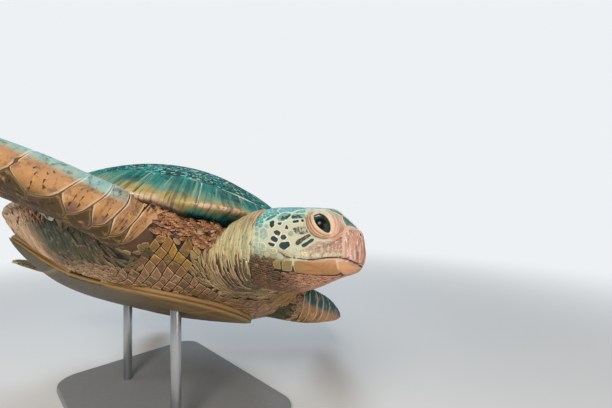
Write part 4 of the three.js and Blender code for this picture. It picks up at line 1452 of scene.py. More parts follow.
scutePlans = {
    "vertebral": [
        [(0.405, 0.085), (0.36, 0.125), (0.285, 0.075), (0.285, -0.075), (0.36, -0.125), (0.405, -0.085)],
        [(0.285, 0.075), (0.205, 0.125), (0.115, 0.075), (0.115, -0.075), (0.205, -0.125), (0.285, -0.075)],
        [(0.115, 0.075), (0.03, 0.125), (-0.055, 0.07), (-0.055, -0.07), (0.03, -0.125), (0.115, -0.075)],
        [(-0.055, 0.07), (-0.14, 0.115), (-0.225, 0.065), (-0.225, -0.065), (-0.14, -0.115), (-0.055, -0.07)],
        [(-0.225, 0.065), (-0.33, 0.10), (-0.42, 0.05), (-0.42, -0.05), (-0.33, -0.10), (-0.225, -0.065)],
    ],
    "costal": [
        [(0.405, 0.085), (0.36, 0.125), (0.285, 0.075), (0.205, 0.125), *innerRim(0.19, 0.405)],
        [(0.205, 0.125), (0.115, 0.075), (0.03, 0.125), *innerRim(0.0, 0.19)],
        [(0.03, 0.125), (-0.055, 0.07), (-0.14, 0.115), *innerRim(-0.19, 0.0)],
        [(-0.14, 0.115), (-0.225, 0.065), (-0.33, 0.10), (-0.42, 0.05), *innerRim(-0.43, -0.19)],
    ],
    "belly": [
        [(0.350, 0), (0.341, 0.066), (0.301, 0.126), (0.295, 0)],
        [(0.295, 0), (0.301, 0.126), (0.232, 0.174), (0.176, 0.235), (0.165, 0.237), (0.165, 0)],
        [(0.165, 0), (0.165, 0.237), (0.13, 0.255), (0.045, 0.255), (0.045, 0)],
        [(0.045, 0), (0.045, 0.255), (-0.09, 0.255), (-0.09, 0)],
        [(-0.09, 0), (-0.09, 0.255), (-0.138, 0.25), (-0.187, 0.213), (-0.225, 0.178), (-0.225, 0)],
        [(-0.225, 0), (-0.225, 0.172), (-0.268, 0.140), (-0.368, 0.080), (-0.404, 0)],
        [(0.125, 0.26), (0.123, 0.338), (0.065, 0.353), (0.065, 0.26)],
        [(0.065, 0.26), (0.065, 0.353), (0.0, 0.360), (0.0, 0.26)],
        [(0.0, 0.26), (0.0, 0.360), (-0.068, 0.352), (-0.068, 0.26)],
        [(-0.068, 0.26), (-0.068, 0.352), (-0.133, 0.340), (-0.133, 0.26)],
    ],
}


def marginalPlans():  # each spans from the inner seam, over the rim, to the seam below
    starts = [-shellLook["nuchalHalf"], shellLook["nuchalHalf"]]
    starts.append(starts[-1] + shellLook["firstMarginal"])
    each = (rimWalk[-1] - starts[-1]) / (shellLook["marginals"] - 1)
    cuts = starts[1:] + [starts[-1] + each * k for k in range(1, shellLook["marginals"])]
    low, high = shellLook["innerSeam"], shellLook["underSeam"]
    left = list(zip(cuts, cuts[1:]))
    plans = []
    for a, b in [(-starts[1], starts[1])] + left + [(-b, -a) for a, b in left]:
        walk = np.linspace(a, b, 6)
        plans.append([(s, low) for s in walk] + [(s, high) for s in walk[::-1]])
    return plans


def tintShell(colours, places, grain):  # rosy below the rim; the grain's third value is the share out to it
    b = inFrame(places, bodyFrame)
    plan = b[..., :2] / shellLook["unit"] - shellCentre
    edge = halfRim - shellCentre
    angles = np.arctan2(edge[:, 1], edge[:, 0])
    order = np.argsort(angles)
    angle = np.arctan2(np.abs(plan[..., 1]), plan[..., 0])
    out = np.linalg.norm(plan, axis=2) / np.interp(angle, angles[order], np.linalg.norm(edge, axis=1)[order])
    rimLevel = np.interp(plan[..., 0], shellLook["rimAt"], shellLook["rimLevel"])
    below = ramp(b[..., 2] - rimLevel, 0.0, -0.005)
    grain[..., 2] = out + 0.03 * ramp(plan[..., 0], 0.14, 0.08) - 0.045 * ramp(plan[..., 0], 0.31, 0.34)
    grain[..., 2] = mixed(grain[..., 2:], 1.05, below)[..., 0]
    tinted(colours, 0, "#9a7350", below)
    tinted(colours, 1, "#b98a68", np.maximum(below, ramp(out, 0.95, 1.0) * 0.5))


def tintBelly(colours, places, grain):  # darker and greener towards the rear: painted shade towards the bridge
    rear = ramp(inFrame(places, bodyFrame)[..., 0], 0.30, 0.05) * 0.9
    tinted(colours, 0, "#4a3d12", rear)
    tinted(colours, 1, "#655526", rear)


scuteProfile = [(1.0, -2.0), (1.0, 0.2), (0.988, 0.7), (0.965, 0.93), (0.92, 1.0), (0.84, 1.0)]
scuteProfile += [(k, 1.0) for k in (0.74, 0.63, 0.52, 0.41, 0.3, 0.2, 0.1, 0.0)]
topLook = {
    "sides": 110, "profile": scuteProfile, "corner": 0.06, "stretch": (0.95, 0.95), "seam": 3.6,
    "thick": 0.9, "border": 1.6, "centred": True, "tint": tintShell,
}
rimProfile = scuteProfile[:4] + [(0.92 - 0.06 * k, 1.0) for k in range(15)] + [(0.0, 1.0)]
rimLook = dict(topLook, sides=72, profile=rimProfile, stretch=(0.95, 0.42), seam=2.4)
bellyLook = dict(topLook, sides=80, thick=0.5, seam=1.4, border=6, tint=tintBelly)
bedDepth = 0.0022


def makeShell():
    carapace = copyOf("carapace_bed", ["carapace"])
    refined(carapace, 3, 24)
    setPlaces(carapace.data, blurred(placesOf(carapace.data), edgesOf(carapace.data), 9))
    top = Ground(carapace.data)
    setPlaces(carapace.data, placesOf(carapace.data) - normalsOf(carapace.data) * bedDepth)
    plastron = copyOf("plastron_bed", ["plastron"])
    refined(plastron, 2, 14)
    below = Ground(plastron.data)
    upper = [(plan, "#006f78", "#2ba09e", 1) for plan in scutePlans["vertebral"]]
    upper += [(plan, "#00707a", "#2ba09c", s) for plan in scutePlans["costal"] for s in bothSides]
    outer = [(plan, "#2b8680", "#7db5a8", 1) for plan in marginalPlans()]
    # The plastron's scutes are their own pale tan made darker by painted shade on the underside.
    lower = [(plan, "#6f5528", "#8a6c3e", s) for plan in scutePlans["belly"] for s in bothSides]
    layers = {
        "scutes_top": (top, planChart(1), upper, topLook),
        "scutes_rim": (top, rimChart(top), outer, rimLook),
        "scutes_belly": (below, planChart(-1), lower, bellyLook),
    }
    pieces = {name: layShields(name, *parts)[0] for name, parts in layers.items()}
    return carapace, plastron, pieces, below


mouthLook = {"halfWidth": 0.0006, "steps": 150, "lift": 0.0006}


def makeMouth(side, ground):  # a dark line laid along the gape, out to the corner of the mouth; its dark brown is painted shade in the slit between the jaws
    line = smoothLine(mouthLine, mouthLook["steps"])
    bm = bmesh.new()
    bmesh.ops.create_grid(bm, x_segments=mouthLook["steps"] - 1, y_segments=2, size=0.5)
    columns = sorted({round(v.co.x, 5) for v in bm.verts})
    starts, ways = headPlace(line[:, 0], line[:, 1], sideSign[side])
    steps = np.arange(len(line))
    middle = blurred(ground.shot(starts, ways), np.column_stack([steps[:-1], steps[1:]]), 4)
    place, normal, _ = ground.nearest(middle)
    along = unit(np.gradient(place, axis=0))
    across = np.cross(normal, along)
    taper = ramp(np.linspace(0, 1, len(line)), 1.0, 0.75) * 0.85 + 0.15
    for v in bm.verts:
        k = columns.index(round(v.co.x, 5))
        shift = across[k] * v.co.y * 2 * mouthLook["halfWidth"] * taper[k]
        v.co = Vector(place[k] + shift + normal[k] * mouthLook["lift"])
    bmesh.ops.recalc_face_normals(bm, faces=bm.faces)
    facing = sum(f.normal.dot(Vector(normal[len(normal) // 2])) for f in bm.faces)
    if facing < 0:
        bmesh.ops.reverse_faces(bm, faces=bm.faces)
    bmesh.ops.solidify(bm, geom=bm.faces[:] + bm.verts[:] + bm.edges[:], thickness=0.0008)
    bmesh.ops.recalc_face_normals(bm, faces=bm.faces)
    name = f"mouth_line_{side}"
    return newObject(name, newMesh(name, bm)), place


chestLook = {  # a net of lozenges over the front of the chest, in the body frame; y is mirrored for the left
    "origin": (0.391, -0.137, -0.075),
    "across": (-0.0015, 0.0155, -0.006),
    "down": (-0.0165, 0.0015, -0.012),
    "columns": (-5, 8),
    "rows": (-3, 7),
    "jitter": 0.17,
}


chestProfile = shieldProfile[:5] + [(0.6, 1.0), (0.3, 1.0), (0.0, 1.0)]
chestPlateLook = {  # strayFrom leaves out plates that would run off onto another part
    "sides": 28, "profile": chestProfile, "corner": 0.10, "stretch": (0.0168, 0.0205), "seam": 2.1,
    "thick": 1.0, "border": 1.7, "strayFrom": 1.7,
}


def makeChestPlates(side, ground, skinRoots):
    flip = np.array([1, -sideSign[side], 1])
    origin, across, down = (np.array(chestLook[key]) * flip for key in ("origin", "across", "down"))
    outward = unit(np.cross(down, across)) * -sideSign[side]

    def chart(column, row, _):
        place = origin + column[:, None] * across + row[:, None] * down
        start = moved(place + outward * 0.06, bodyFrame)
        return start, np.broadcast_to(turnedBy(-outward, bodyTurn), start.shape)

    firstColumn, lastColumn = chestLook["columns"]
    firstRow, lastRow = chestLook["rows"]
    columns, rows = lastColumn - firstColumn + 2, lastRow - firstRow + 2
    net = np.stack(np.meshgrid(np.arange(columns), np.arange(rows), indexing="ij"), 2) - 0.5
    net = net + np.array([firstColumn, firstRow]) + (chance.random(net.shape) - 0.5) * 2 * chestLook["jitter"]
    plans = []
    for i in range(columns - 1):
        for j in range(rows - 1):
            outline = np.array([net[i, j], net[i + 1, j], net[i + 1, j + 1], net[i, j + 1]])
            place, normal, _ = ground.nearest(ground.shot(*chart(*outline.mean(0)[:, None], 1)))
            mine = fieldsOf(place, normal)
            if sharesOf(mine, "chest", "belly")[0] > 0.6 and not underShell(place, normal, 0.012)[0]:
                core, edge, _ = markings(mine)[0] * (0.66 + 0.55 * chance.random())
                plans.append((outline, core, edge, sideSign[side]))
    return layShields(f"plates_chest_{side}", ground, chart, plans, chestPlateLook, skinRoots)


lipLook = {  # a soft roll that closes the slot between the skin and the plastron's front and sides
    "line": [
        (-0.137, 0.303), (-0.122, 0.321), (-0.08, 0.330), (-0.04, 0.319), (0.0, 0.303), (0.04, 0.276),
        (0.08, 0.247), (0.12, 0.226), (0.166, 0.222), (0.220, 0.160), (0.286, 0.118), (0.320, 0.062),
        (0.3275, 0),
    ],
    "steps": 301,
    "rise": 0.0006,
    "thinnest": 0.0012,
    "thickest": 0.0062,
    "sides": 5,
}


def makeLip(skinGround, plastronGround):
    half = lipLook["line"]
    line = smoothLine(half + [(x, -y) for x, y in half[-2::-1]], lipLook["steps"])
    over = np.column_stack([line, np.full(len(line), 0.3)])
    down = np.broadcast_to(turnedBy(np.array([0, 0, -1.0]), bodyTurn), over.shape)
    low = inFrame(plastronGround.shot(moved(over, bodyFrame), down), bodyFrame)[:, 2]
    under = np.column_stack([line, low + 0.0008])
    high = inFrame(skinGround.shot(moved(under, bodyFrame), -down), bodyFrame)[:, 2]
    radius = np.clip((high - low) / 2 + lipLook["rise"], lipLook["thinnest"], lipLook["thickest"])
    fromEnd = np.minimum(np.arange(len(line)), np.arange(len(line))[::-1])
    radius *= np.sqrt(np.clip(fromEnd / 6, 0.05, 1))
    places = moved(np.column_stack([line, low + radius - lipLook["rise"]]), bodyFrame)
    curve = bpy.data.curves.new("lip_line", "CURVE")
    curve.dimensions = "3D"
    curve.bevel_depth = 1.0
    curve.bevel_resolution = lipLook["sides"]
    curve.use_fill_caps = True
    spline = curve.splines.new("POLY")
    spline.points.add(len(places) - 1)
    for point, place, wide in zip(spline.points, places.tolist(), radius.tolist()):
        point.co = (*place, 1)
        point.radius = wide
    guide = newObject("lip_line", curve)
    mesh = bpy.data.meshes.new_from_object(guide.evaluated_get(bpy.context.evaluated_depsgraph_get()))
    bpy.data.objects.remove(guide)
    bpy.data.curves.remove(curve)
    bm = opened(mesh)
    bmesh.ops.remove_doubles(bm, verts=bm.verts, dist=1e-6)
    bmesh.ops.recalc_face_normals(bm, faces=bm.faces)
    closed(bm, mesh)
    shadeSmooth(mesh)
    mesh.name = "plastron_lip"
    return newObject(mesh.name, mesh)


coatLook = {
    "rounds": 4, "shade": 0.26, "largeFrom": 0.0125, "shieldGap": 0.0020, "pale": "#e8c9a0",
    "spots": 44, "spotRadius": 0.006, "spotColours": ("#2b2623", "#6b4a38"),
    "specks": 0.10, "speck": "#3a7f7a",
}


def coveredPlaces(ground, normals, fields, insides):  # where the skin grows no scales of its own
    t, across, height = fields["limb"].T
    covered = underShell(ground.places, normals, 0.004)
    covered |= underShell(ground.places, normals, 0.025) & (fields["b"][:, 2] > -0.055)
    bare = 0.255 + 0.065 * ramp(across, 0.9, 0.5) * ramp(height, 0.010, -0.004)
    covered |= (sharesOf(fields, "flipper") > 0.5) & (t > bare)
    covered |= fields["mouth"] > 0.3
    shieldTree = pointTree(insides)
    for i in np.where(~covered)[0]:
        covered[i] = shieldTree.find(ground.places[i].tolist())[2] < coatLook["shieldGap"]
    return covered


def coatColours(mine, places, normal):  # the skin's markings, with a little chance in each scale
    colours = markings(mine)
    count = len(places)
    colours[:, :2] *= (1 + coatLook["shade"] * (chance.random(count) - 0.5) * 2)[:, None, None]
    calm = sharesOf(mine, "head", "chin", "axilla", "arm")
    pale = ramp(chance.random(count), 0.86, 1.0) * (1 - calm) * 0.5
    for part in (0, 1):
        tinted(colours, part, coatLook["pale"], pale)
    onShoulder = sharesOf(mine, "shoulder") > 0.6
    free = np.where(onShoulder & ~underShell(places, normal, 0.03))[0]
    spots = chance.choice(free, coatLook["spots"])
    gap = np.linalg.norm(places[:, None] - places[spots][None], axis=2)
    near = gap < coatLook["spotRadius"] * (0.6 + 0.8 * chance.random(len(spots)))
    for part, text in enumerate(coatLook["spotColours"]):
        colours[near.any(1) & onShoulder, part] = hexColour(text)
    speck = (chance.random(count) < coatLook["specks"]) & (sharesOf(mine, "head") > 0.5)
    tinted(colours, 0, coatLook["speck"], speck * 0.5)
    return colours


def makeCoat(skin, ground, fields, walls, insides, skinRoots):
    covered = coveredPlaces(ground, normalsOf(skin.data), fields, insides)
    places, faces = spread(ground, fields, covered, coatLook["rounds"])
    cells = picked(fields, ground.triangles[:, 0][faces])
    normal = ground.normals[faces]
    lie = unit(cells["lie"] - normal * dot(cells["lie"], normal)[:, None])
    dice = chance.random(len(places))
    colours = coatColours(cells, places, normal)
    part = np.array(regionNames)[cells["shares"].argmax(1)]
    cells |= {
        "place": places, "face": faces, "normal": normal, "along": lie, "across": np.cross(normal, lie),
        "colours": colours, "dice": dice,
    }
    print("scales", len(places))
    large = np.sqrt(cells["size"].prod(1)) > coatLook["largeFrom"]
    part[np.isin(part, ["belly", "axilla", "shoulder", "chest"])] = "trunk"
    part[part == "gular"] = "throat"
    side = np.where(cells["b"][:, 1] < 0, "right", "left")
    pieces = {}
    for region in np.unique(part):
        for way in sideSign:
            for kind, stem in (("small", "scales"), ("large", "broad_scales")):
                chosen = np.where((part == region) & (side == way) & (large == (kind == "large")))[0]
                name = f"{stem}_{region}_{way}"
                if len(chosen) > 3:
                    pieces[name] = layCells(name, ground, cells, kind, chosen, walls, skinRoots)
    return pieces


def rootsOf(skin):  # where faces of the skin lie on its unwrap
    uv = readAll(skin.data.uv_layers["OFBake"].data, "uv", 2)
    corner = readAll(skin.data.loop_triangles, "loops", 3, np.int32)[:, 0]

    def skinRoots(faces):
        return uv[corner[faces]]

    return skinRoots


def colourSkin(skin, fields):
    addColours(skin.data, "bed", markings(fields)[:, 2])
    # gap: painted shade along the groove between the jaws.
    addLayer(skin.data, "gap", np.clip(fields["mouth"] * 1.3, 0, 1))


def unwrapSkin(skin):  # an unwrap of the skin's own shape, which every scale's patch lies on
    skin.data.uv_layers.new(name="OFBake")
    bpy.ops.object.select_all(action="DESELECT")
    skin.select_set(True)
    bpy.context.view_layer.objects.active = skin
    bpy.ops.object.mode_set(mode="EDIT")
    bpy.ops.mesh.select_all(action="SELECT")
    bpy.ops.uv.smart_project(angle_limit=math.radians(60), island_margin=0.002)
    bpy.ops.object.mode_set(mode="OBJECT")


# Materials
def node(tree, kind, links=None, **settings):  # one node, its settings and what comes into it
    made = tree.nodes.new(kind)
    for key, value in settings.items():
        setattr(made, key, value)
    for key, value in (links or {}).items():
        socket = made.inputs[key]
        if isinstance(value, bpy.types.NodeSocket):
            tree.links.new(value, socket)
        else:
            socket.default_value = value
    return made


def maths(tree, operation, a, b=0.0, c=0.0):
    return node(tree, "ShaderNodeMath", {0: a, 1: b, 2: c}, operation=operation).outputs[0]


def mixColour(tree, share, a, b):
    return node(tree, "ShaderNodeMix", {0: share, 6: a, 7: b}, data_type="RGBA").outputs[2]


def span(tree, value, low, high):  # 0 at low to 1 at high, smooth
    links = {"Value": value, "From Min": low, "From Max": high}
    return node(tree, "ShaderNodeMapRange", links, interpolation_type="SMOOTHSTEP").outputs[0]


def noise(tree, place, scale, detail=3.0, rough=0.55):
    links = {"Vector": place, "Scale": scale, "Detail": detail, "Roughness": rough}
    return node(tree, "ShaderNodeTexNoise", links).outputs[0]


def objectPlace(tree):
    return node(tree, "ShaderNodeTexCoord").outputs["Object"]


def stretched(tree, place, factors):
    return node(tree, "ShaderNodeVectorMath", {0: place, 1: factors}, operation="MULTIPLY").outputs[0]


def attribute(tree, name, what="Fac"):
    return node(tree, "ShaderNodeAttribute", attribute_name=name).outputs[what]


def rgba(text):
    return (*hexColour(text), 1.0)


def groupOf(name, inputs, outputs):  # inputs have a value each, or None for a colour
    tree = bpy.data.node_groups.new(name, "ShaderNodeTree")
    for label, value in inputs.items():
        kind = "Color" if value is None else "Vector" if isinstance(value, tuple) else "Float"
        socket = tree.interface.new_socket(name=label, in_out="INPUT", socket_type=f"NodeSocket{kind}")
        if value is not None:
            socket.default_value = value
    for label, kind in outputs.items():
        tree.interface.new_socket(name=label, in_out="OUTPUT", socket_type=f"NodeSocket{kind}")
    return tree, tree.nodes.new("NodeGroupInput").outputs, tree.nodes.new("NodeGroupOutput").inputs


def makeRimGroup():  # the middle of a scale's colour and its pale band, with a wavering line between
    inputs = {"Core": None, "Edge": None, "Rim": 0.0, "Border": 0.001, "Waver": 1.0, "Scale": 300.0}
    tree, given, out = groupOf("scaleBand", inputs, {"Color": "Color", "Core Mask": "Float"})
    sway = maths(tree, "SUBTRACT", noise(tree, objectPlace(tree), given["Scale"], 2.0), 0.5)
    sway = maths(tree, "MULTIPLY", sway, given["Waver"])
    share = maths(tree, "DIVIDE", given["Rim"], given["Border"])
    mask = span(tree, maths(tree, "ADD", share, sway), 0.35, 1.1)
    tree.links.new(mixColour(tree, mask, given["Edge"], given["Core"]), out[0])
    tree.links.new(mask, out[1])
    return tree


def makeMottleGroup():  # blotches of another tint over a colour
    inputs = {"Color": None, "Tint": None, "Scale": 60.0, "Amount": 0.5, "Sharpness": 0.1, "Cover": 0.5}
    tree, given, out = groupOf("mottle", inputs | {"Stretch": (1, 1, 1)}, {"Color": "Color"})
    field = noise(tree, stretched(tree, objectPlace(tree), given["Stretch"]), given["Scale"], 4.0, 0.6)
    low = maths(tree, "MULTIPLY_ADD", maths(tree, "SUBTRACT", 1.0, given["Cover"]), 0.5, 0.25)
    high = maths(tree, "ADD", low, given["Sharpness"])
    mask = maths(tree, "MULTIPLY", span(tree, field, low, high), given["Amount"])
    tree.links.new(mixColour(tree, mask, given["Color"], given["Tint"]), out[0])
    return tree


def makeHornGroup():  # height of fine pores and of growth lines that follow a scale's outline
    inputs = {"Rim": 0.0, "Line Width": 0.0012, "Lines": 0.3, "Pores": 0.5, "Scale": 900.0}
    tree, given, out = groupOf("hornGrain", inputs, {"Height": "Float"})
    place = objectPlace(tree)
    turn = maths(tree, "MULTIPLY", maths(tree, "DIVIDE", given["Rim"], given["Line Width"]), 2 * math.pi)
    turn = maths(tree, "ADD", turn, maths(tree, "MULTIPLY", noise(tree, place, 160.0), 5.0))
    lines = maths(tree, "MULTIPLY", maths(tree, "SINE", turn), given["Lines"])
    pores = maths(tree, "MULTIPLY", noise(tree, place, given["Scale"], 3.0, 0.7), given["Pores"])
    tree.links.new(maths(tree, "ADD", lines, pores), out[0])
    return tree


rimGroup, mottleGroup, hornGroup = makeRimGroup(), makeMottleGroup(), makeHornGroup()


def newMaterial(name, roughness, coat=0.0, coatRoughness=0.3, metallic=0.0, specular=0.35):
    material = bpy.data.materials.new(name)
    material.use_nodes = True
    tree = material.node_tree
    shader = tree.nodes["Principled BSDF"]
    values = {
        "Roughness": roughness, "Metallic": metallic, "Coat Weight": coat, "Coat Roughness": coatRoughness,
        "Specular IOR Level": specular,
    }
    for key, value in values.items():
        shader.inputs[key].default_value = value
    return material, tree, shader


def mottled(tree, colour, tint, scale, amount, sharpness, cover, stretch=(1, 1, 1)):
    links = {"Color": colour, "Tint": rgba(tint), "Scale": scale, "Amount": amount}
    links |= {"Sharpness": sharpness, "Cover": cover, "Stretch": stretch}
    return node(tree, "ShaderNodeGroup", links, node_tree=mottleGroup).outputs[0]


def banded(tree, rim, waver, scale):  # a scale's own two colours, and where its middle is
    links = {"Core": attribute(tree, "core", "Color"), "Edge": attribute(tree, "edge", "Color")}
    links |= {"Rim": rim, "Border": attribute(tree, "border"), "Waver": waver, "Scale": scale}
    return node(tree, "ShaderNodeGroup", links, node_tree=rimGroup).outputs[:2]


def grained(tree, shader, depth, **links):  # fine relief, over what the mesh has
    horn = node(tree, "ShaderNodeGroup", links, node_tree=hornGroup)
    bump = node(tree, "ShaderNodeBump", {"Height": horn.outputs[0], "Distance": depth, "Strength": 1.0})
    tree.links.new(bump.outputs[0], shader.inputs["Normal"])


# By part of a piece's name. Blotches have a tint, scale, amount, sharpness, cover and stretch, and lie over
# a whole scale, or over its core alone.
hornLooks = {
    "scales_head": {"name": "headScales", "blotches": [("#a8a080", 260, 0.4, 0.1, 0.42)]},
    "mottled_shields": {
        "name": "mottledShields", "waver": 1.4,
        "coreBlotches": [("#7a5a48", 210, 0.6, 0.08, 0.45), ("#0f3d40", 125, 0.95, 0.05, 0.58)],
    },
    "pale_shields": {
        "name": "paleShields",
        "coreBlotches": [("#e2e0c8", 230, 0.5, 0.1, 0.45), ("#6f8f88", 160, 0.45, 0.12, 0.4)],
    },
    "plates_chest": {
        "name": "chestPlates", "waver": 0.9, "scale": 260,
        "blotches": [("#4a2c1a", 70, 0.45, 0.2, 0.45)],
        "coreBlotches": [("#d8ab74", 120, 0.35, 0.12, 0.42)],
    },
    "temple_shields": {
        "name": "templeShields", "waver": 0.6, "coreBlotches": [("#1d6a6c", 160, 0.4, 0.1, 0.4)],
    },
    "plates_flipper": {
        "name": "flipperPlates", "roughness": 0.64, "waver": 0.5, "scale": 110, "depth": 0.0005, "coat": 0,
        "coreBlotches": [
            ("#6a4a50", 30, 0.65, 0.12, 0.45), ("#eaba7c", 52, 0.5, 0.16, 0.42),
            ("#4a3522", 170, 0.35, 0.12, 0.42),
        ],
    },
    "head_shields": {
        "name": "crownShields",
        "coreBlotches": [("#9fd6cc", 300, 0.6, 0.06, 0.40), ("#125a60", 190, 0.7, 0.1, 0.44)],
    },
    "cheek_shields": {
        "name": "cheekShields", "depth": 0.0004,
        "coreBlotches": [
            ("#6b5050", 105, 0.6, 0.14, 0.46, (1, 1, 0.45)), ("#efe3cf", 240, 0.6, 0.1, 0.48),
            ("#4f4a4c", 330, 0.55, 0.08, 0.36),
        ],
    },
    "jaw_shields": {
        "name": "jawShields",
        "coreBlotches": [("#c99762", 45, 0.5, 0.3, 0.45), ("#7b5330", 160, 0.35, 0.15, 0.38)],
    },
    "lower_beak": {
        "name": "jawHorn", "roughness": 0.42, "coreBlotches": [("#e6b48e", 80, 0.4, 0.3, 0.45)],
    },
    "beak": {
        "name": "beakHorn", "depth": 0.0004,
        "coreBlotches": [
            ("#6a4846", 150, 0.6, 0.12, 0.46, (1, 1, 0.28)),
            ("#efd6c8", 230, 0.75, 0.1, 0.50, (1, 1, 0.18)), ("#8a5a50", 420, 0.5, 0.08, 0.42),
        ],
    },
    "scutes_belly": {
        "name": "bellyScutes", "lines": 0.08, "coat": 0,
        "blotches": [("#6b5130", 12, 0.6, 0.4, 0.45), ("#a5885e", 30, 0.3, 0.3, 0.4)],
    },
    "scales_hind": {"name": "limbScales", "roughness": 0.6, "blotches": [("#2c3020", 60, 0.5, 0.2, 0.45)]},
    "scales": {
        "name": "bodyScales",
        "blotches": [("#3d2416", 55, 0.55, 0.2, 0.45), ("#dcae82", 110, 0.35, 0.1, 0.4)],
    },
}
plainLooks = {  # what has one colour under its blotches; pores have a scale and a depth
    "carapace_bed": {"name": "shellSeams", "colour": "#eef0dd", "blotch": ("#c3d0b8", 60, 0.5, 0.2, 0.4)},
    # The plastron's seams and lip are darkened the same way, by painted shade on the underside.
    "plastron_bed": {"name": "bellySeams", "colour": "#94774c", "blotch": ("#6e5030", 18, 0.6, 0.3, 0.4)},
    # The gape's dark brown is painted shade in the slit between the jaws.
    "mouth_line": {
        "name": "gape", "colour": "#4a2a1e", "blotch": ("#7a4c38", 200, 0.7, 0.2, 0.4), "roughness": 0.7,
    },
    "nostril_rim": {
        "name": "nostrilRim", "colour": "#dcb9ab", "blotch": ("#a9786c", 420, 0.6, 0.1, 0.45),
        "roughness": 0.5,
    },
    # The pit's near black is painted shade in the nostril's opening.
    "nostril_pit": {
        "name": "nostrilPit", "colour": "#1a1010", "blotch": ("#3a2420", 700, 0.6, 0.1, 0.4),
        "roughness": 0.7,
    },
    "claw": {
        "name": "clawHorn", "colour": "#c9a57a", "blotch": ("#6e4c33", 90, 0.7, 0.3, 0.4), "roughness": 0.35,
        "coat": 0.3,
    },
    "rod": {
        "name": "brushedSteel", "colour": "#b9bcc0", "blotch": ("#8d9196", 40, 0.6, 0.4, 0.4, (8, 8, 0.5)),
        "roughness": 0.32, "metallic": 1,
    },
    "base": {
        "name": "standBase", "colour": "#8f9296", "blotch": ("#a3a6aa", 120, 0.5, 0.3, 0.5),
        "roughness": 0.45,
        "pores": (1400, 0.00015),
    },
}


def hornFinish(look):
    material, tree, shader = newMaterial(look["name"], look.get("roughness", 0.5), look.get("coat", 0.1))
    rim = attribute(tree, "rim")
    colour, core = banded(tree, rim, look.get("waver", 1), look.get("scale", 300))
    for blotch in look.get("blotches", []):
        colour = mottled(tree, colour, *blotch)
    for tint, scale, amount, *rest in look.get("coreBlotches", []):
        colour = mottled(tree, colour, tint, scale, maths(tree, "MULTIPLY", core, amount), *rest)
    tree.links.new(colour, shader.inputs["Base Color"])
    grained(tree, shader, look.get("depth", 0.0003), Rim=rim, Lines=look.get("lines", 0.25), Pores=0.6)
    return material


def plainFinish(look):
    coat, metallic = look.get("coat", 0), look.get("metallic", 0)
    material, tree, shader = newMaterial(look["name"], look.get("roughness", 0.55), coat, metallic=metallic)
    tree.links.new(mottled(tree, rgba(look["colour"]), *look["blotch"]), shader.inputs["Base Color"])
    if "pores" in look:
        scale, depth = look["pores"]
        grained(tree, shader, depth, Lines=0, Pores=1, Scale=scale)
    return material


shellTints = {  # tint, from and to which share of the way out to the rim, and how much
    "green": ("#7fa894", 0.86, 0.91, 0.6), "ochre": ("#c2a45a", 0.90, 0.935, 0.8),
    "rosy": ("#dcbfa4", 0.94, 0.98, 0.9),
}


def shellFinish(name, speckles, rays):  # teal, then the tints of the rim, under streaks and flecks
    material, tree, shader = newMaterial(name, 0.72, specular=0.1)
    rim, grain = attribute(tree, "rim"), attribute(tree, "grain", "Vector")
    colour, core = banded(tree, rim, 1.2, 200)
    share = node(tree, "ShaderNodeSeparateXYZ", {0: grain}).outputs[2]
    clouds = noise(tree, objectPlace(tree), 34.0, 4.0, 0.65)
    out = maths(tree, "MULTIPLY_ADD", clouds, 0.10, maths(tree, "SUBTRACT", share, 0.05))
    streaks = noise(tree, stretched(tree, grain, (rays, 9.0, 0.0)), 1.0, 4.0)
    out = maths(tree, "MULTIPLY_ADD", streaks, 0.07, maths(tree, "SUBTRACT", out, 0.035))
    colour = mottled(tree, colour, "#06302f", 24, 0.75, 0.15, 0.5)
    layers = [(tint, out, low, high, amount) for tint, low, high, amount in shellTints.values()]
    layers += [("#1c332b", streaks, 0.50, 0.60, 0.55), ("#c2cba0", streaks, 0.44, 0.36, 0.4)]
    for tint, field, low, high, amount in layers:
        share = maths(tree, "MULTIPLY", span(tree, field, low, high), amount)
        colour = mixColour(tree, share, colour, rgba(tint))
    for tint, scale, amount, sharpness in (("#12b0ae", 60, 0.85, 0.08), ("#b0e6d0", 120, 0.9, 0.05)):
        share = maths(tree, "MULTIPLY", core, amount)
        colour = mottled(tree, colour, tint, scale, share, sharpness, speckles)
    tree.links.new(colour, shader.inputs["Base Color"])
    grained(tree, shader, 0.0003, Rim=rim, Lines=0.25, Pores=0.6)
    return material


def skinFinish():
    material, tree, shader = newMaterial("skinFolds", 0.6)
    colour = mottled(tree, attribute(tree, "bed", "Color"), "#2a2018", 70, 0.45, 0.3, 0.35)
    # Painted shade: the skin darkens along the groove between the jaws.
    colour = mixColour(tree, attribute(tree, "gap"), colour, rgba("#6b4434"))
    tree.links.new(colour, shader.inputs["Base Color"])
    grained(tree, shader, 0.0006, Lines=0, Pores=1, Scale=500)
    return material


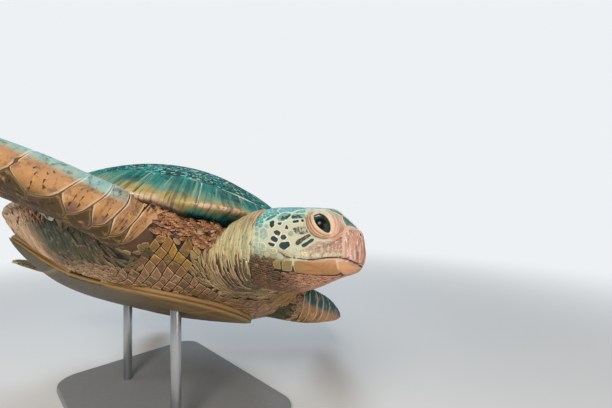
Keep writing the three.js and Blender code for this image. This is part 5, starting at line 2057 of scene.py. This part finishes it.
def lidFinish():  # pale folds with painted shade in their creases and a painted shadow at the lower outer edge, browner below and behind the eye
    material, tree, shader = newMaterial("lids", 0.5, 0.15)
    share, turn, ahead = (attribute(tree, name) for name in ("lid", "turn", "ahead"))
    low = span(tree, turn, 0.35, -0.35)
    wave = maths(tree, "COSINE", maths(tree, "MULTIPLY", share, 2 * math.pi * eyeLook["folds"]))
    crease = maths(tree, "POWER", maths(tree, "MULTIPLY_ADD", wave, -0.5, 0.5), 4.0)
    colour = mixColour(tree, span(tree, ahead, -0.35, 0.45), rgba("#c9d2c6"), rgba("#dcb9a6"))
    colour = mixColour(tree, low, colour, rgba("#cda888"))
    colour = mottled(tree, colour, "#9c7a68", 260, 0.35, 0.12, 0.42)
    colour = mixColour(tree, span(tree, share, 0.10, 0.22), rgba("#dcc4a4"), colour)
    # Painted shade: the creases between the folds darken, more so below the eye.
    line = mixColour(tree, low, rgba("#b08c78"), rgba("#4a2a1a"))
    deep = maths(tree, "MULTIPLY", crease, span(tree, share, 0.10, 0.2))
    colour = mixColour(tree, maths(tree, "MULTIPLY", deep, 0.85), colour, line)
    # Painted shadow: a dark band along the lower outer edge of the lids, towards the rear, where they meet
    # the skin.
    outer = maths(tree, "MULTIPLY", span(tree, share, 0.82, 0.90), span(tree, turn, 0.2, -0.3))
    outer = maths(tree, "MULTIPLY", outer, span(tree, ahead, 0.75, 0.3))
    colour = mixColour(tree, outer, colour, rgba("#2a1a14"))
    colour = mixColour(tree, span(tree, share, 0.05, 0.0), colour, rgba("#2c2320"))
    tree.links.new(colour, shader.inputs["Base Color"])
    grained(tree, shader, 0.0003, Lines=0, Pores=1, Scale=700)
    return material


def eyeFinish():
    material, tree, shader = newMaterial("eye", 0.25, 0.12, 0.15, specular=0.2)
    pupil = span(tree, attribute(tree, "gaze"), 0.80, 0.90)
    tree.links.new(mixColour(tree, pupil, rgba("#243a36"), rgba("#08090a")), shader.inputs["Base Color"])
    return material


def finishAll(pieces):  # each piece takes the finish of its own name, else the first whose key its name holds
    finishes = {"skin": skinFinish(), "lids": lidFinish(), "eyeball": eyeFinish()}
    finishes["scutes_top"] = shellFinish("shellScutes", 0.39, 26.0)
    finishes["scutes_rim"] = shellFinish("rimScutes", 0.16, 110.0)
    finishes |= {key: plainFinish(look) for key, look in plainLooks.items()}
    finishes["plastron_lip"] = finishes["plastron_bed"]
    finishes |= {key: hornFinish(look) for key, look in hornLooks.items() if key != "scales"}
    for region in ("flipper", "arm", "tail"):
        finishes[f"scales_{region}"] = finishes["scales_hind"]
    finishes["scales"] = hornFinish(hornLooks["scales"])
    for name, piece in pieces.items():
        material = finishes.get(name) or next(value for key, value in finishes.items() if key in name)
        piece.data.materials.clear()
        piece.data.materials.append(material)


roomLook = {
    "camera": (0.9367, -0.3964, 0.5505),
    "look": (-0.7007, 0.7135, 0),
    "lens": 19.4,
    "sensor": 36,
    "floor": ("#f4f5f6", "#dfe2e4"),
    "backdrop": "#eef1f3",
    "floorRadius": 14.0,
    "fill": 0.22,
}
lamps = [
    {"place": (1.5, -1.5, 1.7), "aim": (0.15, -0.1, 0.42), "size": 1.0, "power": 38, "colour": "#fff6ea"},
    {"place": (2.0, 0.1, 0.7), "aim": (0.3, 0.0, 0.40), "size": 0.9, "power": 6, "colour": "#fff1e2"},
    {"place": (-1.2, 1.2, 2.2), "aim": (0.0, 0.0, 0.4), "size": 1.5, "power": 24, "colour": "#dff0ff"},
    {"place": (-1.3, -1.6, 1.5), "aim": (0.0, 0.0, 0.4), "size": 1.2, "power": 7, "colour": "#ffffff"},
]


def aimed(made, place, way):
    made.location = place
    made.rotation_euler = way.to_track_quat("-Z", "Y").to_euler()
    return made


def makeFloor():  # pale, and lost in the backdrop further out
    bm = bmesh.new()
    bmesh.ops.create_circle(bm, segments=96, radius=roomLook["floorRadius"], cap_ends=True)
    mesh = bpy.data.meshes.new("floor")
    closed(bm, mesh)
    material, tree, shader = newMaterial("paleFloor", 0.9)
    place = objectPlace(tree)
    clouds = maths(tree, "MULTIPLY", noise(tree, place, 3.0), 0.2)
    pale, grey = (rgba(text) for text in roomLook["floor"])
    tree.links.new(mixColour(tree, clouds, pale, grey), shader.inputs["Base Color"])
    far = node(tree, "ShaderNodeVectorMath", {0: place}, operation="LENGTH").outputs["Value"]
    seen = node(tree, "ShaderNodeLightPath").outputs["Is Camera Ray"]
    share = maths(tree, "MULTIPLY", span(tree, far, 0.9, 3.4), seen)
    glow = node(tree, "ShaderNodeEmission", {"Color": rgba(roomLook["backdrop"]), "Strength": 1.0})
    blend = node(tree, "ShaderNodeMixShader", {0: share, 1: shader.outputs[0], 2: glow.outputs[0]})
    tree.links.new(blend.outputs[0], tree.nodes["Material Output"].inputs[0])
    mesh.materials.append(material)
    return newObject("floor", mesh)


def makeRoom():
    makeFloor()
    camera = bpy.data.cameras.new("camera")
    camera.lens = roomLook["lens"]
    camera.sensor_width = roomLook["sensor"]
    camera.clip_start = 0.01
    look = Vector(roomLook["look"])
    bpy.context.scene.camera = aimed(newObject("camera", camera), roomLook["camera"], look)
    for plan in lamps:
        lamp = bpy.data.lights.new("lamp", "AREA")
        lamp.shape = "DISK"
        lamp.size = plan["size"]
        lamp.energy = plan["power"]
        lamp.color = hexColour(plan["colour"])
        aimed(newObject("lamp", lamp), plan["place"], Vector(plan["aim"]) - Vector(plan["place"]))
    world = bpy.data.worlds.new("room")
    bpy.context.scene.world = world
    world.use_nodes = True
    tree = world.node_tree
    tree.nodes.clear()
    path = node(tree, "ShaderNodeLightPath").outputs
    seen = maths(tree, "MAXIMUM", path["Is Camera Ray"], path["Is Transmission Ray"])
    strength = maths(tree, "MULTIPLY_ADD", seen, 1 - roomLook["fill"], roomLook["fill"])
    back = node(tree, "ShaderNodeBackground", {"Color": rgba(roomLook["backdrop"]), "Strength": strength})
    node(tree, "ShaderNodeOutputWorld", {0: back.outputs[0]})


bpy.context.scene.view_settings.view_transform = "Standard"
for name in ("Cube", "Light", "Camera"):  # what a new file starts with
    if name in bpy.data.objects:
        bpy.data.objects.remove(bpy.data.objects[name])
makeRoom()
print("room made")
skin, fields = makeSkin()
unwrapSkin(skin)
ground = Ground(skin.data)
colourSkin(skin, fields)
skinRoots = rootsOf(skin)
print("skin made")
pieces, walls, insides = makeHeadShields(ground, skinRoots)
for side in sideSign:
    pieces[f"lids_{side}"], wall, inside = makeLids(side, ground)
    pieces[f"eyeball_{side}"] = makeEye(side)
    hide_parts(f"eye_{side}")
    pieces[f"mouth_line_{side}"], gape = makeMouth(side, ground)
    pieces |= makeNostril(side, ground)
    walls, insides = np.concatenate([walls, wall, gape]), np.concatenate([insides, inside])
    for kind, make in (("flipper", makeFlipperPlates), ("chest", makeChestPlates)):
        pieces[f"plates_{kind}_{side}"], wall, inside = make(side, ground, skinRoots)
        walls, insides = np.concatenate([walls, wall]), np.concatenate([insides, inside])
print("shields and plates made")
pieces |= makeCoat(skin, ground, fields, walls, insides, skinRoots)
print("coat made")
carapace, plastron, scutes, plastronGround = makeShell()
pieces["plastron_lip"] = makeLip(ground, plastronGround)
pieces |= scutes | {"carapace_bed": carapace, "plastron_bed": plastron, "skin": skin}
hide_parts(*flesh)
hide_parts("carapace")
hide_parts("plastron")
print("shell made")
for limb in ("front", "hind"):
    for side in sideSign:
        claw = copyOf(f"{limb}_claw_horn_{side}", [f"{limb}_claw_{side}"])
        refined(claw, 2, 6)
        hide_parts(f"{limb}_claw_{side}")
        pieces[claw.name] = claw
for name in ("stand_base", "stand_rod_front", "stand_rod_rear"):
    piece = copyOf(name + "_finished", [name])
    bm = opened(piece.data)
    bmesh.ops.dissolve_limit(bm, angle_limit=math.radians(1), verts=bm.verts, edges=bm.edges)
    closed(bm, piece.data)
    bevel = piece.modifiers.new("edges", "BEVEL")
    bevel.width = 0.0012
    bevel.segments = 2
    bevel.limit_method = "ANGLE"
    applyModifiers(piece)
    shadeSmooth(piece.data)
    piece.data.set_sharp_from_angle(angle=math.radians(40))
    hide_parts(name)
    pieces[piece.name] = piece
print("claws and stand made")
finishAll(pieces)
slots = {
    "eyeball": "eye", "claw": "claw", "scutes_belly": "plastron", "plastron": "plastron", "scutes": "shell",
    "carapace": "shell", "base": "stand_plate", "rod": "stand_rod",
}
total = 0
for name, piece in pieces.items():
    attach(piece, "root")
    next((value for key, value in slots.items() if key in name), "skin")
    piece.data.calc_loop_triangles()
    total += len(piece.data.loop_triangles)
print("finished", len(pieces), "pieces with", total, "triangles")
